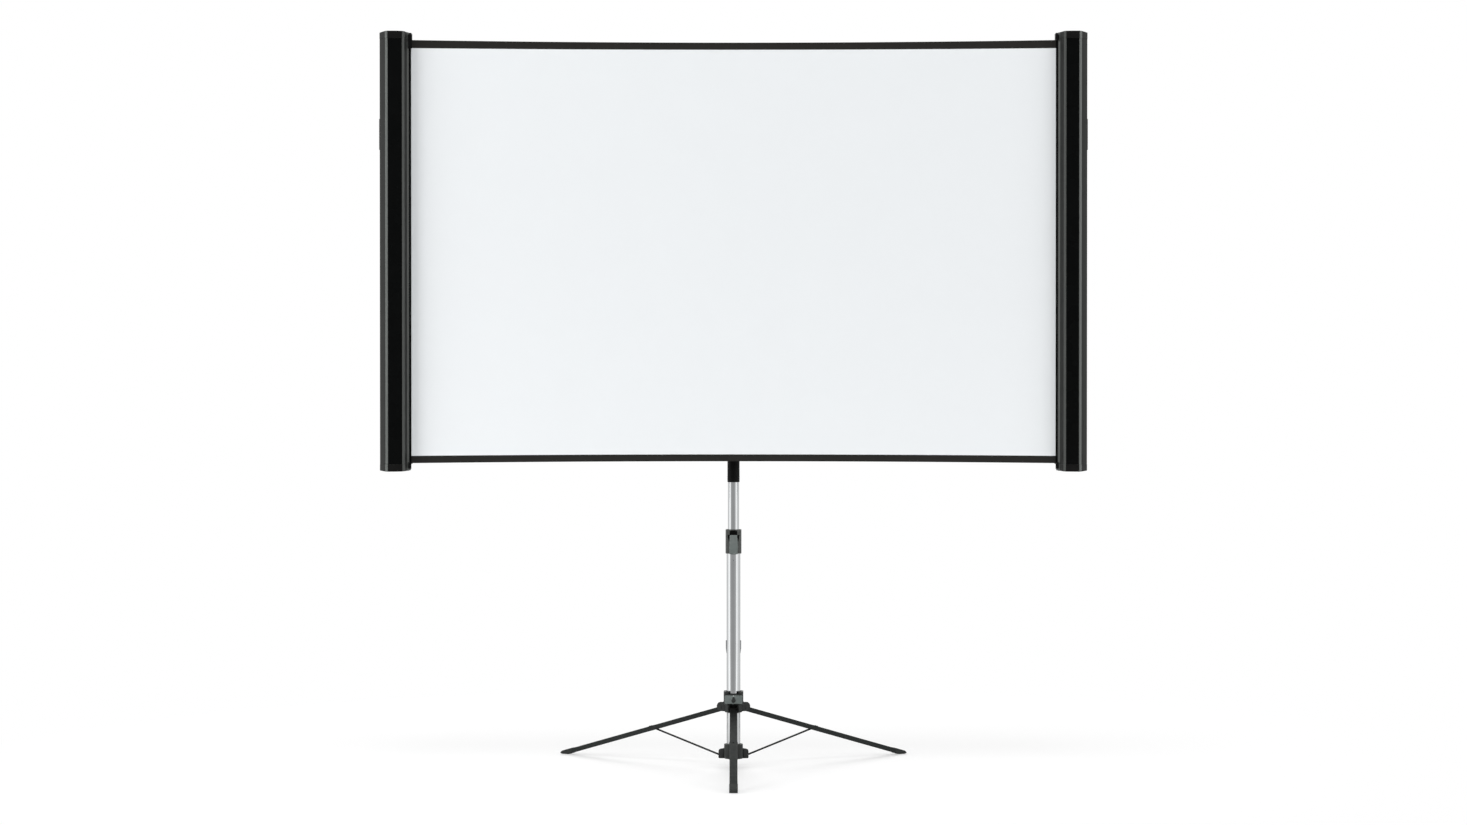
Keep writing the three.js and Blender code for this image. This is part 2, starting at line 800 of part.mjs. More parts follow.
function spinePieces() {
  const half = spineWidth / 2;
  const spineBase = socketTop - spinePocket + seat;
  const bar = block(-half, half, spineFront, -spineFront, spineBase, spineTop)
    .subtract(
      block(
        -half + spineWall,
        half - spineWall,
        spineFront + spineWall,
        -spineFront - spineWall,
        spineBase - overrun,
        spineTop + overrun,
      ),
    )
    .subtract(
      crossPin(pinHole, spineFront - overrun, -spineFront + overrun, 0, pivotLevel),
    );

  const lowerPin = headedPin(-spineFront, frontLayer - armThickness, 0, pivotLevel).add(
    crossPin(pivotHeadRadius, rearLayer + seat, spineFront - seat, 0, pivotLevel),
  );

  const level = pivotLevel + scissorRise;
  const outerX = half + running + carriageWall;
  const outerY = spineDepth / 2 + running + carriageWall;
  const carriage = block(
    -outerX,
    outerX,
    -outerY,
    outerY,
    level - carriageHeight / 2,
    level + carriageHeight / 2,
  )
    .subtract(
      block(
        -half - running,
        half + running,
        spineFront - running,
        -spineFront + running,
        level - carriageHeight,
        level + carriageHeight,
      ),
    )
    .add(
      crossPin(pivotPinRadius, frontLayer - armThickness - seat, -outerY + seat, 0, level),
    )
    .add(
      crossPin(
        pivotHeadRadius,
        frontLayer - armThickness - seat - pivotHead,
        frontLayer - armThickness - seat,
        0,
        level,
      ),
    );

  const neckTop = socketBase + socketNeck;
  const socket = post(socketRadius, socketBase, neckTop)
    .add(
      block(
        -socketWidth / 2,
        socketWidth / 2,
        -socketDepth / 2,
        socketDepth / 2,
        neckTop,
        socketTop,
      ),
    )
    .subtract(post(spigotRadius + seat, socketBase - overrun, socketBase + spigotLength + seat))
    .subtract(
      block(
        -half - seat,
        half + seat,
        spineFront - seat,
        -spineFront + seat,
        socketTop - spinePocket,
        socketTop + overrun,
      ),
    );
  return [
    piece("spine_bar", bar, anodised),
    piece("spine_pin", lowerPin, zincSteel),
    piece("scissor_carriage", carriage, capPlastic),
    piece("screen_socket", socket, capPlastic),
  ];
}

// Telescopic pole

function polePieces() {
  const bore = outerTubeRadius - outerTubeWall;
  let outer = pipe(outerTubeRadius, bore, outerTubeBase, outerTubeTop).subtract(
    crossPin(rivetRadius / 2 + seat, -outerTubeRadius - overrun, 0, 0, rivetLevel),
  );
  for (const { sign } of sides) {
    outer = outer.subtract(
      block(
        0,
        sign * (outerTubeRadius + overrun),
        -wedgeStem / 2 - seat,
        wedgeStem / 2 + seat,
        wedgeStemLevel - wedgeStem / 2 - seat,
        wedgeStemLevel + wedgeStem / 2 + seat,
      ),
    );
  }

  const mastTop = socketBase - seat;
  const mast = turned([
    [mastRadius - mastWall, mastBase],
    [mastRadius, mastBase],
    [mastRadius, mastTop],
    [spigotRadius, mastTop],
    [spigotRadius, socketBase + spigotLength - seat],
    [spigotRadius - mastWall, socketBase + spigotLength - seat],
    [spigotRadius - mastWall, mastTop - spigotRoot],
    [mastRadius - mastWall, mastTop - spigotRoot - mastNeck],
    [mastRadius - mastWall, mastBase],
  ]);
  const bush = pipe(bore - seat, mastRadius + seat, mastBase, mastBase + mastBushHeight);
  const plug = turned([
    [0, outerTubeBase - seat - plugFlange],
    [outerTubeRadius, outerTubeBase - seat - plugFlange],
    [outerTubeRadius, outerTubeBase - seat],
    [bore - seat, outerTubeBase - seat],
    [bore - seat, outerTubeBase - seat + plugStem],
    [0, outerTubeBase - seat + plugStem],
  ]);
  const rivet = crossPin(rivetRadius / 2, -outerTubeRadius - rivetHead, -bore, 0, rivetLevel).add(
    crossPin(
      rivetRadius,
      -outerTubeRadius - seat - rivetHead,
      -outerTubeRadius - seat,
      0,
      rivetLevel,
    ),
  );
  return [
    piece("outer_tube", outer, brightTube),
    piece("inner_tube", mast, brightTube),
    piece("mast_bush", bush, capPlastic),
    piece("tube_end_plug", plug, footRubber),
    piece("tube_rivet", rivet, zincSteel),
    ...sides.map(({ name, sign }) => piece(`tube_wedge_${name}`, wedgeSolid(sign), brightTube)),
  ];
}

/** A wedge on the tube's side, square on top and tapered below, with a stem through the wall. */
function wedgeSolid(sign) {
  const face = outerTubeRadius + seat;
  const outline = outlineOf([
    [sign * face, wedgeLevel],
    [sign * (face + wedgeProud), wedgeLevel + wedgeTaper],
    [sign * (face + wedgeProud), wedgeLevel + wedgeHeight],
    [sign * face, wedgeLevel + wedgeHeight],
  ]);
  const stem = block(
    sign * (outerTubeRadius - outerTubeWall),
    sign * (face + wedgeProud / 2),
    -wedgeStem / 2,
    wedgeStem / 2,
    wedgeStemLevel - wedgeStem / 2,
    wedgeStemLevel + wedgeStem / 2,
  );
  return sideways(outline, -wedgeWidth / 2, wedgeWidth / 2).add(stem);
}

// Height clamp on top of the outer tube

function clampPieces() {
  const pinY = -collarFront + collarPocketDepth - running - leverEye;
  const leverTop = leverPivotLevel + leverEye;
  const pocketHalf = leverWidth / 2 + running;
  const pocket = outlineOf([
    [-pocketHalf, collarBase - overrun],
    [pocketHalf, collarBase - overrun],
    [pocketHalf, leverTop - leverTaper],
    [pocketHalf + collarPocketFlare, leverTop + running],
    [-pocketHalf - collarPocketFlare, leverTop + running],
    [-pocketHalf, leverTop - leverTaper],
  ]);
  const archHalf = collarArchWidth / 2;
  const archTop = collarTop - collarArchInset;
  const arch = new THREE.Shape();
  arch.moveTo(-archHalf, leverTop);
  arch.lineTo(archHalf, leverTop);
  arch.absarc(archHalf - collarArchCorner, archTop - collarArchCorner, collarArchCorner, 0, Math.PI / 2);
  arch.absarc(
    -archHalf + collarArchCorner,
    archTop - collarArchCorner,
    collarArchCorner,
    Math.PI / 2,
    Math.PI,
  );
  const collar = uprightShape(
    roundedPlan(collarWidth, -collarFront, collarBack, collarCorner),
    collarBase,
    collarTop,
  )
    .subtract(post(outerTubeRadius + seat, collarBase - overrun, outerTubeTop + seat))
    .subtract(post(mastRadius + running, collarBase, collarTop + overrun))
    .subtract(sideways(pocket, -collarFront - overrun, -collarFront + collarPocketDepth))
    .subtract(sideways(arch, -collarFront - overrun, -collarFront + collarPocketDepth))
    .subtract(
      sidePin(leverPinRadius + seat, -collarWidth, collarWidth, pinY, leverPivotLevel),
    );
  const leverBack = pinY + leverEye;
  const lever = new THREE.Shape();
  lever.moveTo(leverBack - leverThickness, leverPivotLevel);
  lever.lineTo(leverBack - leverThickness, leverPivotLevel - leverLength + leverEye);
  lever.lineTo(leverBack - leverThickness + leverEye, leverPivotLevel - leverLength);
  lever.lineTo(leverBack, leverPivotLevel - leverLength);
  lever.lineTo(leverBack, leverPivotLevel);
  lever.absarc(pinY, leverPivotLevel, leverEye, 0, Math.PI);
  const leverFoot = leverPivotLevel - leverLength;
  const leverFront = outlineOf([
    [-leverWidth / 2, leverFoot],
    [leverWidth / 2, leverFoot],
    [leverWidth / 2, leverTop - leverTaper],
    [leverTopWidth / 2, leverTop],
    [-leverTopWidth / 2, leverTop],
    [-leverWidth / 2, leverTop - leverTaper],
  ]);
  const leverBody = sidePlate(lever, -leverWidth / 2, leverWidth / 2)
    .intersect(sideways(leverFront, leverBack - leverThickness - overrun, leverBack + overrun))
    .subtract(sidePin(leverPinRadius + seat, -leverWidth, leverWidth, pinY, leverPivotLevel));
  const pinEnd = collarWidth / 2 - running;
  const pin = sidePin(leverPinRadius, -pinEnd, pinEnd, pinY, leverPivotLevel);
  return [
    piece("clamp_collar", collar, clampPlastic),
    piece("clamp_lever", leverBody, leverPlastic),
    piece("clamp_lever_pin", pin, zincSteel),
  ];
}

/** A shape drawn in y and z, given a thickness from x0 to x1. */
function sidePlate(outline, x0, x1) {
  const shape = new THREE.ExtrudeGeometry(outline, {
    depth: x1 - x0,
    bevelEnabled: false,
    curveSegments: pinSides / 2,
  });
  shape.rotateY(Math.PI / 2);
  shape.rotateX(Math.PI / 2);
  shape.translate(x0, 0, 0);
  return solid(shape);
}

// Tripod: equal links on equal pivots, so a brace's angle and its leg's stay in step

const legDrop = hubPivotLevel - footAxisRise;
const legRun = footReach - footAxisInset - pivotRadius;
const legAngle = Math.atan2(legDrop, legRun);
const linkLength = (hubPivotLevel - bracePivotLevel) / 2 / Math.sin(legAngle);
const legLength = (footReach - legEndInset - pivotRadius) / Math.cos(legAngle);

/** One leg channel along +x from its pivot, open below, with holes for two pins. */
function legSolid() {
  const outline = new THREE.Shape();
  outline.moveTo(legLength, -legBelow);
  outline.lineTo(legLength, legAbove);
  outline.lineTo(0, legAbove);
  outline.absarc(0, 0, legAbove, Math.PI / 2, Math.PI + Math.asin(legBelow / legAbove));
  const inner = legWidth / 2 - legWall;
  return sideways(outline, -legWidth / 2, legWidth / 2)
    .subtract(
      block(
        -legAbove - overrun,
        legLength + overrun,
        -inner,
        inner,
        -legBelow - overrun,
        legAbove - legWall,
      ),
    )
    .subtract(crossPin(legPinRadius + running, -legWidth, legWidth))
    .subtract(crossPin(legPinRadius + seat, -legWidth, legWidth, linkLength));
}

/** One brace along +x from the lower hub's pin to the cross pin that holds its leg. */
function braceSolid() {
  const half = braceThickness / 2;
  const bar = block(0, linkLength, -half, half, -braceDepth / 2, braceDepth / 2)
    .add(crossPin(braceEye, -half, half))
    .add(crossPin(braceEye, -half, half, linkLength));
  return bar
    .subtract(crossPin(legPinRadius + seat, -braceThickness, braceThickness))
    .add(crossPin(legPinRadius, -legWidth / 2, legWidth / 2, linkLength));
}

/** One foot: a cap over the leg's end with a flat sole, in radial distance and height. */
function footSolid() {
  const slope = Math.tan(legAngle);
  const axisAt = (r) => footAxisRise + (footReach - footAxisInset - r) * slope;
  const above = (legAbove + footWall) / Math.cos(legAngle);
  const below = (legBelow + footWall) / Math.cos(legAngle);
  const heel = footReach - footLength;
  const outline = outlineOf([
    [footReach - footSole, 0],
    [footReach, 0],
    [footReach, footNose],
    [footReach - footWall, axisAt(footReach - footWall) + above],
    [heel, axisAt(heel) + above],
    [heel + footWall, axisAt(heel + footWall) - below],
  ]);
  const pocketLength = footLength + overrun;
  const pocket = new THREE.BoxGeometry(
    pocketLength,
    legWidth + 2 * seat,
    legAbove + legBelow + 2 * seat,
  );
  pocket.translate(legLength + seat - pocketLength / 2, 0, (legAbove - legBelow) / 2);
  pocket.rotateY(legAngle);
  pocket.translate(pivotRadius, 0, hubPivotLevel);
  return sideways(outline, -footWidth / 2, footWidth / 2).subtract(solid(pocket));
}

/** An ear pair of a hub: rounded at the pivot's height, slotted for the leg or brace. */
function earSolid(level, radius, width, top, bottom) {
  const outline = new THREE.Shape();
  outline.moveTo(0, bottom);
  outline.lineTo(pivotRadius, bottom);
  outline.absarc(pivotRadius, level, radius, -Math.PI / 2, Math.PI / 2);
  outline.lineTo(0, top);
  return sideways(outline, -width / 2, width / 2);
}

/** The same solid turned about the z axis. */
function turnedAbout(geometryBody, azimuth) {
  return geometryBody.rotate([0, 0, azimuth]);
}

function hubPieces() {
  const bore = outerTubeRadius + seat + wedgeProud + running;
  const wall = bore + hubWall;
  const ears = legAzimuths.map((azimuth, i) => {
    const radius = i > 0 ? hubEarRadius : hubFrontEarRadius;
    const level = i > 0 ? hubPivotLevel + hubEarLift : hubPivotLevel;
    return { azimuth, radius, level };
  });
  const earBottom = Math.min(...ears.map(({ level, radius }) => level - radius));
  const blockBase = hubPivotLevel + hubBlockRise;
  const blockTop = blockBase + hubBlockHeight;
  const front = -hubBlockDepth / 2;
  let hub = uprightShape(
    roundedPlan(hubBlockWidth, front, -front, hubBlockCorner),
    blockBase,
    blockTop,
  );
  for (const { azimuth, radius, level } of ears) {
    const ear = earSolid(level, radius, hubEarWidth, level + radius, level - radius);
    hub = hub.add(turnedAbout(ear, azimuth));
  }
  const slotHalf = legWidth / 2 + running;
  for (const azimuth of legAzimuths) {
    const slot = block(
      0,
      pivotRadius + hubEarRadius + overrun,
      -slotHalf,
      slotHalf,
      earBottom - overrun,
      blockBase,
    );
    hub = hub.subtract(turnedAbout(slot, azimuth));
  }
  hub = hub.add(post(wall, earBottom, blockBase + overrun));
  const pinReach = hubEarWidth / 2;
  for (const azimuth of legAzimuths) {
    const pin = crossPin(legPinRadius, -pinReach, pinReach, pivotRadius, hubPivotLevel);
    hub = hub.add(turnedAbout(pin, azimuth));
  }
  hub = hub.subtract(post(bore, earBottom - overrun, blockTop + overrun));
  const notchHalf = hubNotchWidth / 2;
  const notchBase = blockTop - hubNotchDepth;
  hub = hub.subtract(
    block(-notchHalf, notchHalf, front - overrun, 0, notchBase, blockTop + overrun),
  );

  const coverBase = blockBase + hubCoverInset;
  const coverTop = coverBase + hubCoverHeight;
  const coverFront = front - seat - hubCoverThickness;
  const buttonLevel = coverBase + hubCoverHeight / 2;
  const drop = (grow) => {
    const shape = new THREE.Shape();
    const radius = buttonRadius + grow;
    const rise = buttonRise + grow;
    const flank = Math.asin(radius / rise);
    shape.absarc(0, buttonLevel - buttonRadius / 2, radius, Math.PI - flank, flank);
    shape.lineTo(0, buttonLevel - buttonRadius / 2 + rise);
    return shape;
  };
  const pocket = sideways(drop(seat), front - overrun, front + buttonDepth);
  hub = hub.subtract(pocket);
  const cover = block(
    -hubCoverWidth / 2,
    hubCoverWidth / 2,
    coverFront,
    front - seat,
    coverBase,
    coverTop,
  ).subtract(sideways(drop(seat), coverFront - overrun, front + overrun));
  const button = sideways(drop(0), coverFront - buttonProud, front + seat);
  return [
    piece("upper_hub", hub, hubPlastic),
    piece("hub_cover", cover, coverPlastic),
    piece("hub_button", button, hubPlastic),
  ];
}

function lowerHub() {
  let hub = post(lowHubRadius, lowHubBase, lowHubTop);
  const slotHalf = braceThickness / 2 + running;
  for (const azimuth of legAzimuths) {
    const ear = new THREE.Shape();
    ear.moveTo(0, lowHubBase);
    ear.lineTo(pivotRadius, bracePivotLevel - lowEarRadius);
    ear.absarc(pivotRadius, bracePivotLevel, lowEarRadius, -Math.PI / 2, 0);
    ear.lineTo(pivotRadius + lowEarRadius, lowEarTop - lowEarRadius);
    ear.absarc(pivotRadius, lowEarTop - lowEarRadius, lowEarRadius, 0, Math.PI / 2);
    ear.lineTo(0, lowEarTop);
    hub = hub.add(turnedAbout(sideways(ear, -lowEarWidth / 2, lowEarWidth / 2), azimuth));
  }
  for (const azimuth of legAzimuths) {
    const slot = block(
      pivotRadius - braceEye - running,
      pivotRadius + lowEarRadius + overrun,
      -slotHalf,
      slotHalf,
      lowHubBase - overrun,
      lowEarTop + overrun,
    );
    hub = hub.subtract(turnedAbout(slot, azimuth));
  }
  for (const azimuth of legAzimuths) {
    const reach = lowEarWidth / 2;
    const pin = crossPin(legPinRadius, -reach, reach, pivotRadius, bracePivotLevel);
    hub = hub.add(turnedAbout(pin, azimuth));
  }
  hub = hub.subtract(post(outerTubeRadius + seat, lowHubBase - overrun, lowHubTop + overrun));
  return piece("lower_hub", hub, hubPlastic);
}

function legPieces() {
  const names = ["front", "right", "left"];
  return legAzimuths.map((azimuth, i) => {
    const arm = new THREE.Group();
    arm.rotation.z = azimuth * degree;
    const leg = piece(`leg_${names[i]}`, legSolid(), paintedSteel);
    const brace = piece(`brace_${names[i]}`, braceSolid(), paintedSteel);
    arm.add(
      placed(pivotRadius, 0, hubPivotLevel, legAngle, leg),
      placed(pivotRadius, 0, bracePivotLevel, -legAngle, brace),
      piece(`foot_${names[i]}`, footSolid(), footRubber),
    );
    return arm;
  });
}

const screen = new THREE.Group();
screen.add(
  ...fabricPieces(),
  ...sides.flatMap(casingPieces),
  ...sides.map(({ name, sign }) => piece(`slider_block_${name}`, sliderSolid(sign), capPlastic)),
  ...armPieces(),
  ...spinePieces(),
  ...polePieces(),
  ...clampPieces(),
  ...hubPieces(),
  lowerHub(),
  ...legPieces(),
);

// The front foot reaches furthest forward and the two rear feet's corners furthest back
const rearAzimuth = legAzimuths[1] * degree;
const rearReach = footReach * Math.sin(rearAzimuth) + (footWidth / 2) * Math.cos(rearAzimuth);
screen.position.y = (footReach - rearReach) / 2;

export default screen;
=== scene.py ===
"""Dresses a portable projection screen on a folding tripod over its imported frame.

Two upright casings pull a white sheet out sideways between them. A double scissor behind the
sheet holds the casings apart, a spine carries the scissor, and a telescopic pole with a height
clamp carries the spine on a three-leg stand. Sizes are millimetres about the pole's axis, with
+Z up and the audience towards -Y. They become metres in the row frame when a mesh is made.
"""

from __future__ import annotations

import json
import logging
import math
from dataclasses import dataclass, field
from enum import Enum
from functools import partial
from typing import Any, Callable, Iterable, Sequence

import bmesh
import bpy
import numpy as np
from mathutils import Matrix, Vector

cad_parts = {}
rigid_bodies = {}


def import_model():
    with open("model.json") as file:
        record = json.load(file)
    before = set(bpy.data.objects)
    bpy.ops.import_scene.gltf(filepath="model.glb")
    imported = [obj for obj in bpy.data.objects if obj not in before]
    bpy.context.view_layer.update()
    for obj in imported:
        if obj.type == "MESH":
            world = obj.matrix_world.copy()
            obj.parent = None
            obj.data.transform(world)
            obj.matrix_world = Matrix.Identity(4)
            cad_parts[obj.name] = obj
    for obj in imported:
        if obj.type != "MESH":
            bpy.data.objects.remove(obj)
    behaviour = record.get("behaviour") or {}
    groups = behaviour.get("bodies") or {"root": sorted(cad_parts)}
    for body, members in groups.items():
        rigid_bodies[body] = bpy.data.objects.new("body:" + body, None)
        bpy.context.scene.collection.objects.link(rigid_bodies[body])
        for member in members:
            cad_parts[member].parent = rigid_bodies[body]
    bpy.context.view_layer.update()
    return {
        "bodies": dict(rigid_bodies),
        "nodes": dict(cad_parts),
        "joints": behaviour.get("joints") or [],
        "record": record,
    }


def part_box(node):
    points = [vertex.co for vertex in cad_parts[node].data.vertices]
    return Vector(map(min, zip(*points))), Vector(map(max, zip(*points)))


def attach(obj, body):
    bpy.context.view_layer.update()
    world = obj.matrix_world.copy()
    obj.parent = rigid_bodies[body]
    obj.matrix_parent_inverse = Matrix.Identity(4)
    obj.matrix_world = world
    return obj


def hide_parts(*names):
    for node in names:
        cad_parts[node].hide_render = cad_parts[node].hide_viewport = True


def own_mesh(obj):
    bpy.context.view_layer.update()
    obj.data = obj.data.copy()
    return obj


MM = 0.001
CLOSE = 1e-6
SMOOTH_ANGLE = 32.0
WHITE = (1.0, 1.0, 1.0, 1.0)
LOG = logging.getLogger("projection_screen")

Pair = tuple[float, float]
Place = tuple[float, float, float]
AreaTest = Callable[[np.ndarray], np.ndarray]


class Axis(Enum):
    """The direction an outline is carried along."""

    X = "x"
    Y = "y"
    Z = "z"


class Pattern(Enum):
    """The fine structure of a finish."""

    MOULDED = "moulded grain"
    DRAWN = "lines along the length"
    WOVEN = "crossing threads"
    PILE = "short fibres"
    PAINTED = "sprayed skin"


@dataclass(frozen=True)
class Side:
    """One side of the screen, seen by the audience."""

    name: str
    sign: int


SIDES = (Side("right", 1), Side("left", -1))


@dataclass(frozen=True)
class Patch:
    """A closed surface: its points in millimetres and its faces."""

    points: np.ndarray
    faces: list[tuple[int, ...]]

    def moved(self, x: float = 0.0, y: float = 0.0, z: float = 0.0) -> Patch:
        """The same surface carried by a step."""
        return Patch(self.points + np.array([x, y, z]), self.faces)

    def turned(self, axis: Axis, degrees: float) -> Patch:
        """The surface turned about an axis through the origin.

        Args:
            axis: the axis of the turn.
            degrees: the angle by the right-hand rule.

        Returns:
            The turned surface.
        """
        first, second = {Axis.X: (1, 2), Axis.Y: (2, 0), Axis.Z: (0, 1)}[axis]
        cos, sin = math.cos(math.radians(degrees)), math.sin(math.radians(degrees))
        points = self.points.copy()
        points[:, first] = cos * self.points[:, first] - sin * self.points[:, second]
        points[:, second] = sin * self.points[:, first] + cos * self.points[:, second]
        return Patch(points, self.faces)

    def on_side(self, side: Side, lip_x: float, front_y: float) -> Patch:
        """Sets casing sizes in place: (outwards from the lip, back from the front, height).

        Args:
            side: which casing.
            lip_x: distance of the lip from the middle.
            front_y: place of the casing's front face.

        Returns:
            The surface about the pole's axis.
        """
        points = self.points.copy()
        points[:, 0] = side.sign * (lip_x + self.points[:, 0])
        points[:, 1] = front_y + self.points[:, 1]
        return Patch(points, self.faces)


def oriented(axis: Axis, u: np.ndarray, v: np.ndarray, w: np.ndarray) -> np.ndarray:
    """Plane coordinates (u, v) at w along an axis, as points (x, y, z).

    Args:
        axis: Z takes (u, v) as (x, y), Y takes them as (x, z) and X takes them as (y, z).
        u: first plane coordinate.
        v: second plane coordinate.
        w: place along the axis.

    Returns:
        An array with the three coordinates last.
    """
    u, v, w = np.broadcast_arrays(u, v, w)
    order = {Axis.X: (w, u, v), Axis.Y: (u, w, v), Axis.Z: (u, v, w)}[axis]
    return np.stack(order, axis=-1).astype(float)


def grid_faces(rows: int, columns: int, ring_rows: bool, ring_columns: bool) -> np.ndarray:
    """Four-sided faces between neighbours on a grid whose points are counted row by row.

    Args:
        rows: number of rows.
        columns: number of points in a row.
        ring_rows: whether the last row joins the first.
        ring_columns: whether a row's last point joins its first.

    Returns:
        An array of four point numbers for each face.
    """
    row = np.arange(rows if ring_rows else rows - 1)[:, None]
    column = np.arange(columns if ring_columns else columns - 1)[None, :]
    next_row, next_column = (row + 1) % rows, (column + 1) % columns
    corners = [
        row * columns + column,
        row * columns + next_column,
        next_row * columns + next_column,
        next_row * columns + column,
    ]
    return np.stack(corners, axis=-1).reshape(-1, 4)


def skin(
    grid: np.ndarray, ring_rows: bool = False, capped: bool = True, strip: bool = False
) -> Patch:
    """A closed surface through a grid of points whose rows are rings.

    Args:
        grid: points as (rows, columns, 3).
        ring_rows: whether the last row joins the first, as on a ring or tube wall.
        capped: whether the first and last rows are closed by flat faces.
        strip: whether those faces are rungs between the two sides of a wall.

    Returns:
        The surface.
    """
    rows, columns = grid.shape[:2]
    faces = [tuple(face) for face in grid_faces(rows, columns, ring_rows, True).tolist()]
    last = (rows - 1) * columns
    if strip:
        rungs = [(i, i + 1, columns - 2 - i, columns - 1 - i) for i in range(columns // 2 - 1)]
        faces += [tuple(start + index for index in rung) for start in (0, last) for rung in rungs]
    elif capped and not ring_rows:
        faces += [tuple(range(columns)), tuple(range(last, last + columns))]
    return Patch(grid.reshape(-1, 3), faces)


def without_repeats(points: np.ndarray) -> np.ndarray:
    """A closed outline with no point twice in a row."""
    step = np.linalg.norm(points - np.roll(points, 1, axis=0), axis=1)
    return points[step > CLOSE]


def corner_curve(before: np.ndarray, at: np.ndarray, after: np.ndarray, steps: int) -> np.ndarray:
    """Quadratic curves (1-t)^2 a + 2t(1-t) b + t^2 c, one for each row of the three arrays."""
    t = np.linspace(0.0, 1.0, steps + 1)[None, :, None]
    return (1 - t) ** 2 * before[:, None] + 2 * t * (1 - t) * at[:, None] + t**2 * after[:, None]


def rounded(corners: Sequence[Sequence[float]], setback: Any = 1.0, steps: int = 5) -> np.ndarray:
    """A closed outline whose corners are quadratic curves that start a setback before each corner.

    Args:
        corners: the outline's corners in order.
        setback: one distance, or one for each corner.
        steps: number of steps round a corner.

    Returns:
        The outline's points.
    """
    at = np.asarray(corners, float)
    back = np.broadcast_to(np.asarray(setback, float), len(at))[:, None]
    toward = np.roll(at, -1, axis=0) - at
    length = np.linalg.norm(toward, axis=1, keepdims=True)
    unit = toward / length
    curve = corner_curve(at - back * np.roll(unit, 1, axis=0), at, at + back * unit, steps)
    return without_repeats(curve.reshape(-1, 2))


def rounded_path(corners: Sequence[Sequence[float]], setback: Any, steps: int = 4) -> np.ndarray:
    """An open line whose inner corners are quadratic curves.

    Args:
        corners: the line's corners in order.
        setback: one distance, or one for each inner corner.
        steps: number of steps round a corner.

    Returns:
        The line's points, its two ends included.
    """
    at = np.asarray(corners, float)
    back = np.broadcast_to(np.asarray(setback, float), len(at) - 2)[:, None]
    toward = np.diff(at, axis=0)
    unit = toward / np.linalg.norm(toward, axis=1, keepdims=True)
    inner = at[1:-1]
    curve = corner_curve(inner - back * unit[:-1], inner, inner + back * unit[1:], steps)
    points = np.vstack([at[:1], curve.reshape(-1, 2), at[-1:]])
    keep = np.r_[True, np.linalg.norm(np.diff(points, axis=0), axis=1) > CLOSE]
    return points[keep]


def thickened(path: np.ndarray, wall: float) -> np.ndarray:
    """An open line given a wall to its left: a point moves along the mean normal of its edges.

    Args:
        path: points of the line.
        wall: the wall's thickness, to the left of the line's direction.

    Returns:
        A closed outline of the line and its copy taken backwards.
    """
    toward = np.diff(path, axis=0)
    unit = toward / np.linalg.norm(toward, axis=1, keepdims=True)
    normal = np.stack([-unit[:, 1], unit[:, 0]], axis=1)
    before, after = np.vstack([normal[:1], normal]), np.vstack([normal, normal[-1:]])
    mitre = (before + after) / (1 + np.sum(before * after, axis=1, keepdims=True))
    return np.vstack([path, (path + mitre * wall)[::-1]])


def mitres(outline: np.ndarray, least: float = 0.4) -> np.ndarray:
    """Inward steps of a closed outline's points, one millimetre off each edge.

    Args:
        outline: the outline.
        least: smallest divisor, which keeps the step short at a sharp point.

    Returns:
        One step for each point.
    """
    toward = np.roll(outline, -1, axis=0) - outline
    unit = toward / np.linalg.norm(toward, axis=1, keepdims=True)
    x, y = outline.T
    area = np.sum(x * np.roll(y, -1) - np.roll(x, -1) * y)
    normal = np.stack([-unit[:, 1], unit[:, 0]], axis=1) * np.sign(area)
    before = np.roll(normal, 1, axis=0)
    return (before + normal) / np.maximum(least, 1 + np.sum(before * normal, axis=1, keepdims=True))


def edge_levels(
    low: float, high: float, edges: Pair, steps: int = 3
) -> tuple[np.ndarray, np.ndarray]:
    """Places and insets of the levels of a slab whose two rims are quarter circles.

    Args:
        low: lower end.
        high: upper end.
        edges: rim radius at the lower and at the upper end.
        steps: number of steps round a rim.

    Returns:
        Places along the axis, and how far the outline is drawn in at each.
    """
    places, insets = [], []
    for end, inward, radius in ((low, 1.0, edges[0]), (high, -1.0, edges[1])):
        angle = np.linspace(0.0, math.pi / 2, steps + 1 if radius > 0 else 1)
        along = end + inward * radius * (1 - np.cos(angle))
        inset = radius * (1 - np.sin(angle)) if radius > 0 else np.zeros(1)
        places.append(along if inward > 0 else along[::-1])
        insets.append(inset if inward > 0 else inset[::-1])
    return np.concatenate(places), np.concatenate(insets)


def slab(
    outline: np.ndarray,
    low: float,
    high: float,
    axis: Axis = Axis.Z,
    edge: float | Pair = 0.5,
    strip: bool = False,
) -> Patch:
    """An outline carried along an axis, its rims rounded by quarter circles.

    Args:
        outline: closed outline in the plane across the axis.
        low: lower end along the axis.
        high: upper end along the axis.
        axis: the direction.
        edge: rim radius, or one for each end.
        strip: whether the outline is a wall's, as thickened() gives it.

    Returns:
        The closed surface.
    """
    edges = (edge, edge) if isinstance(edge, (int, float)) else edge
    places, insets = edge_levels(low, high, edges)
    step = mitres(outline)
    u = outline[None, :, 0] + insets[:, None] * step[None, :, 0]
    v = outline[None, :, 1] + insets[:, None] * step[None, :, 1]
    return skin(oriented(axis, u, v, places[:, None]), strip=strip)


def box(x: Pair, y: Pair, z: Pair, edge: float = 0.6, corner: float = 1.0) -> Patch:
    """A block between two corners, with round upright edges and round rims.

    Args:
        x: its two sides across.
        y: its front and back.
        z: its bottom and top.
        edge: radius of the rims.
        corner: setback of the upright edges.

    Returns:
        The closed surface.
    """
    return slab(rectangle(x, y, corner), z[0], z[1], Axis.Z, edge)


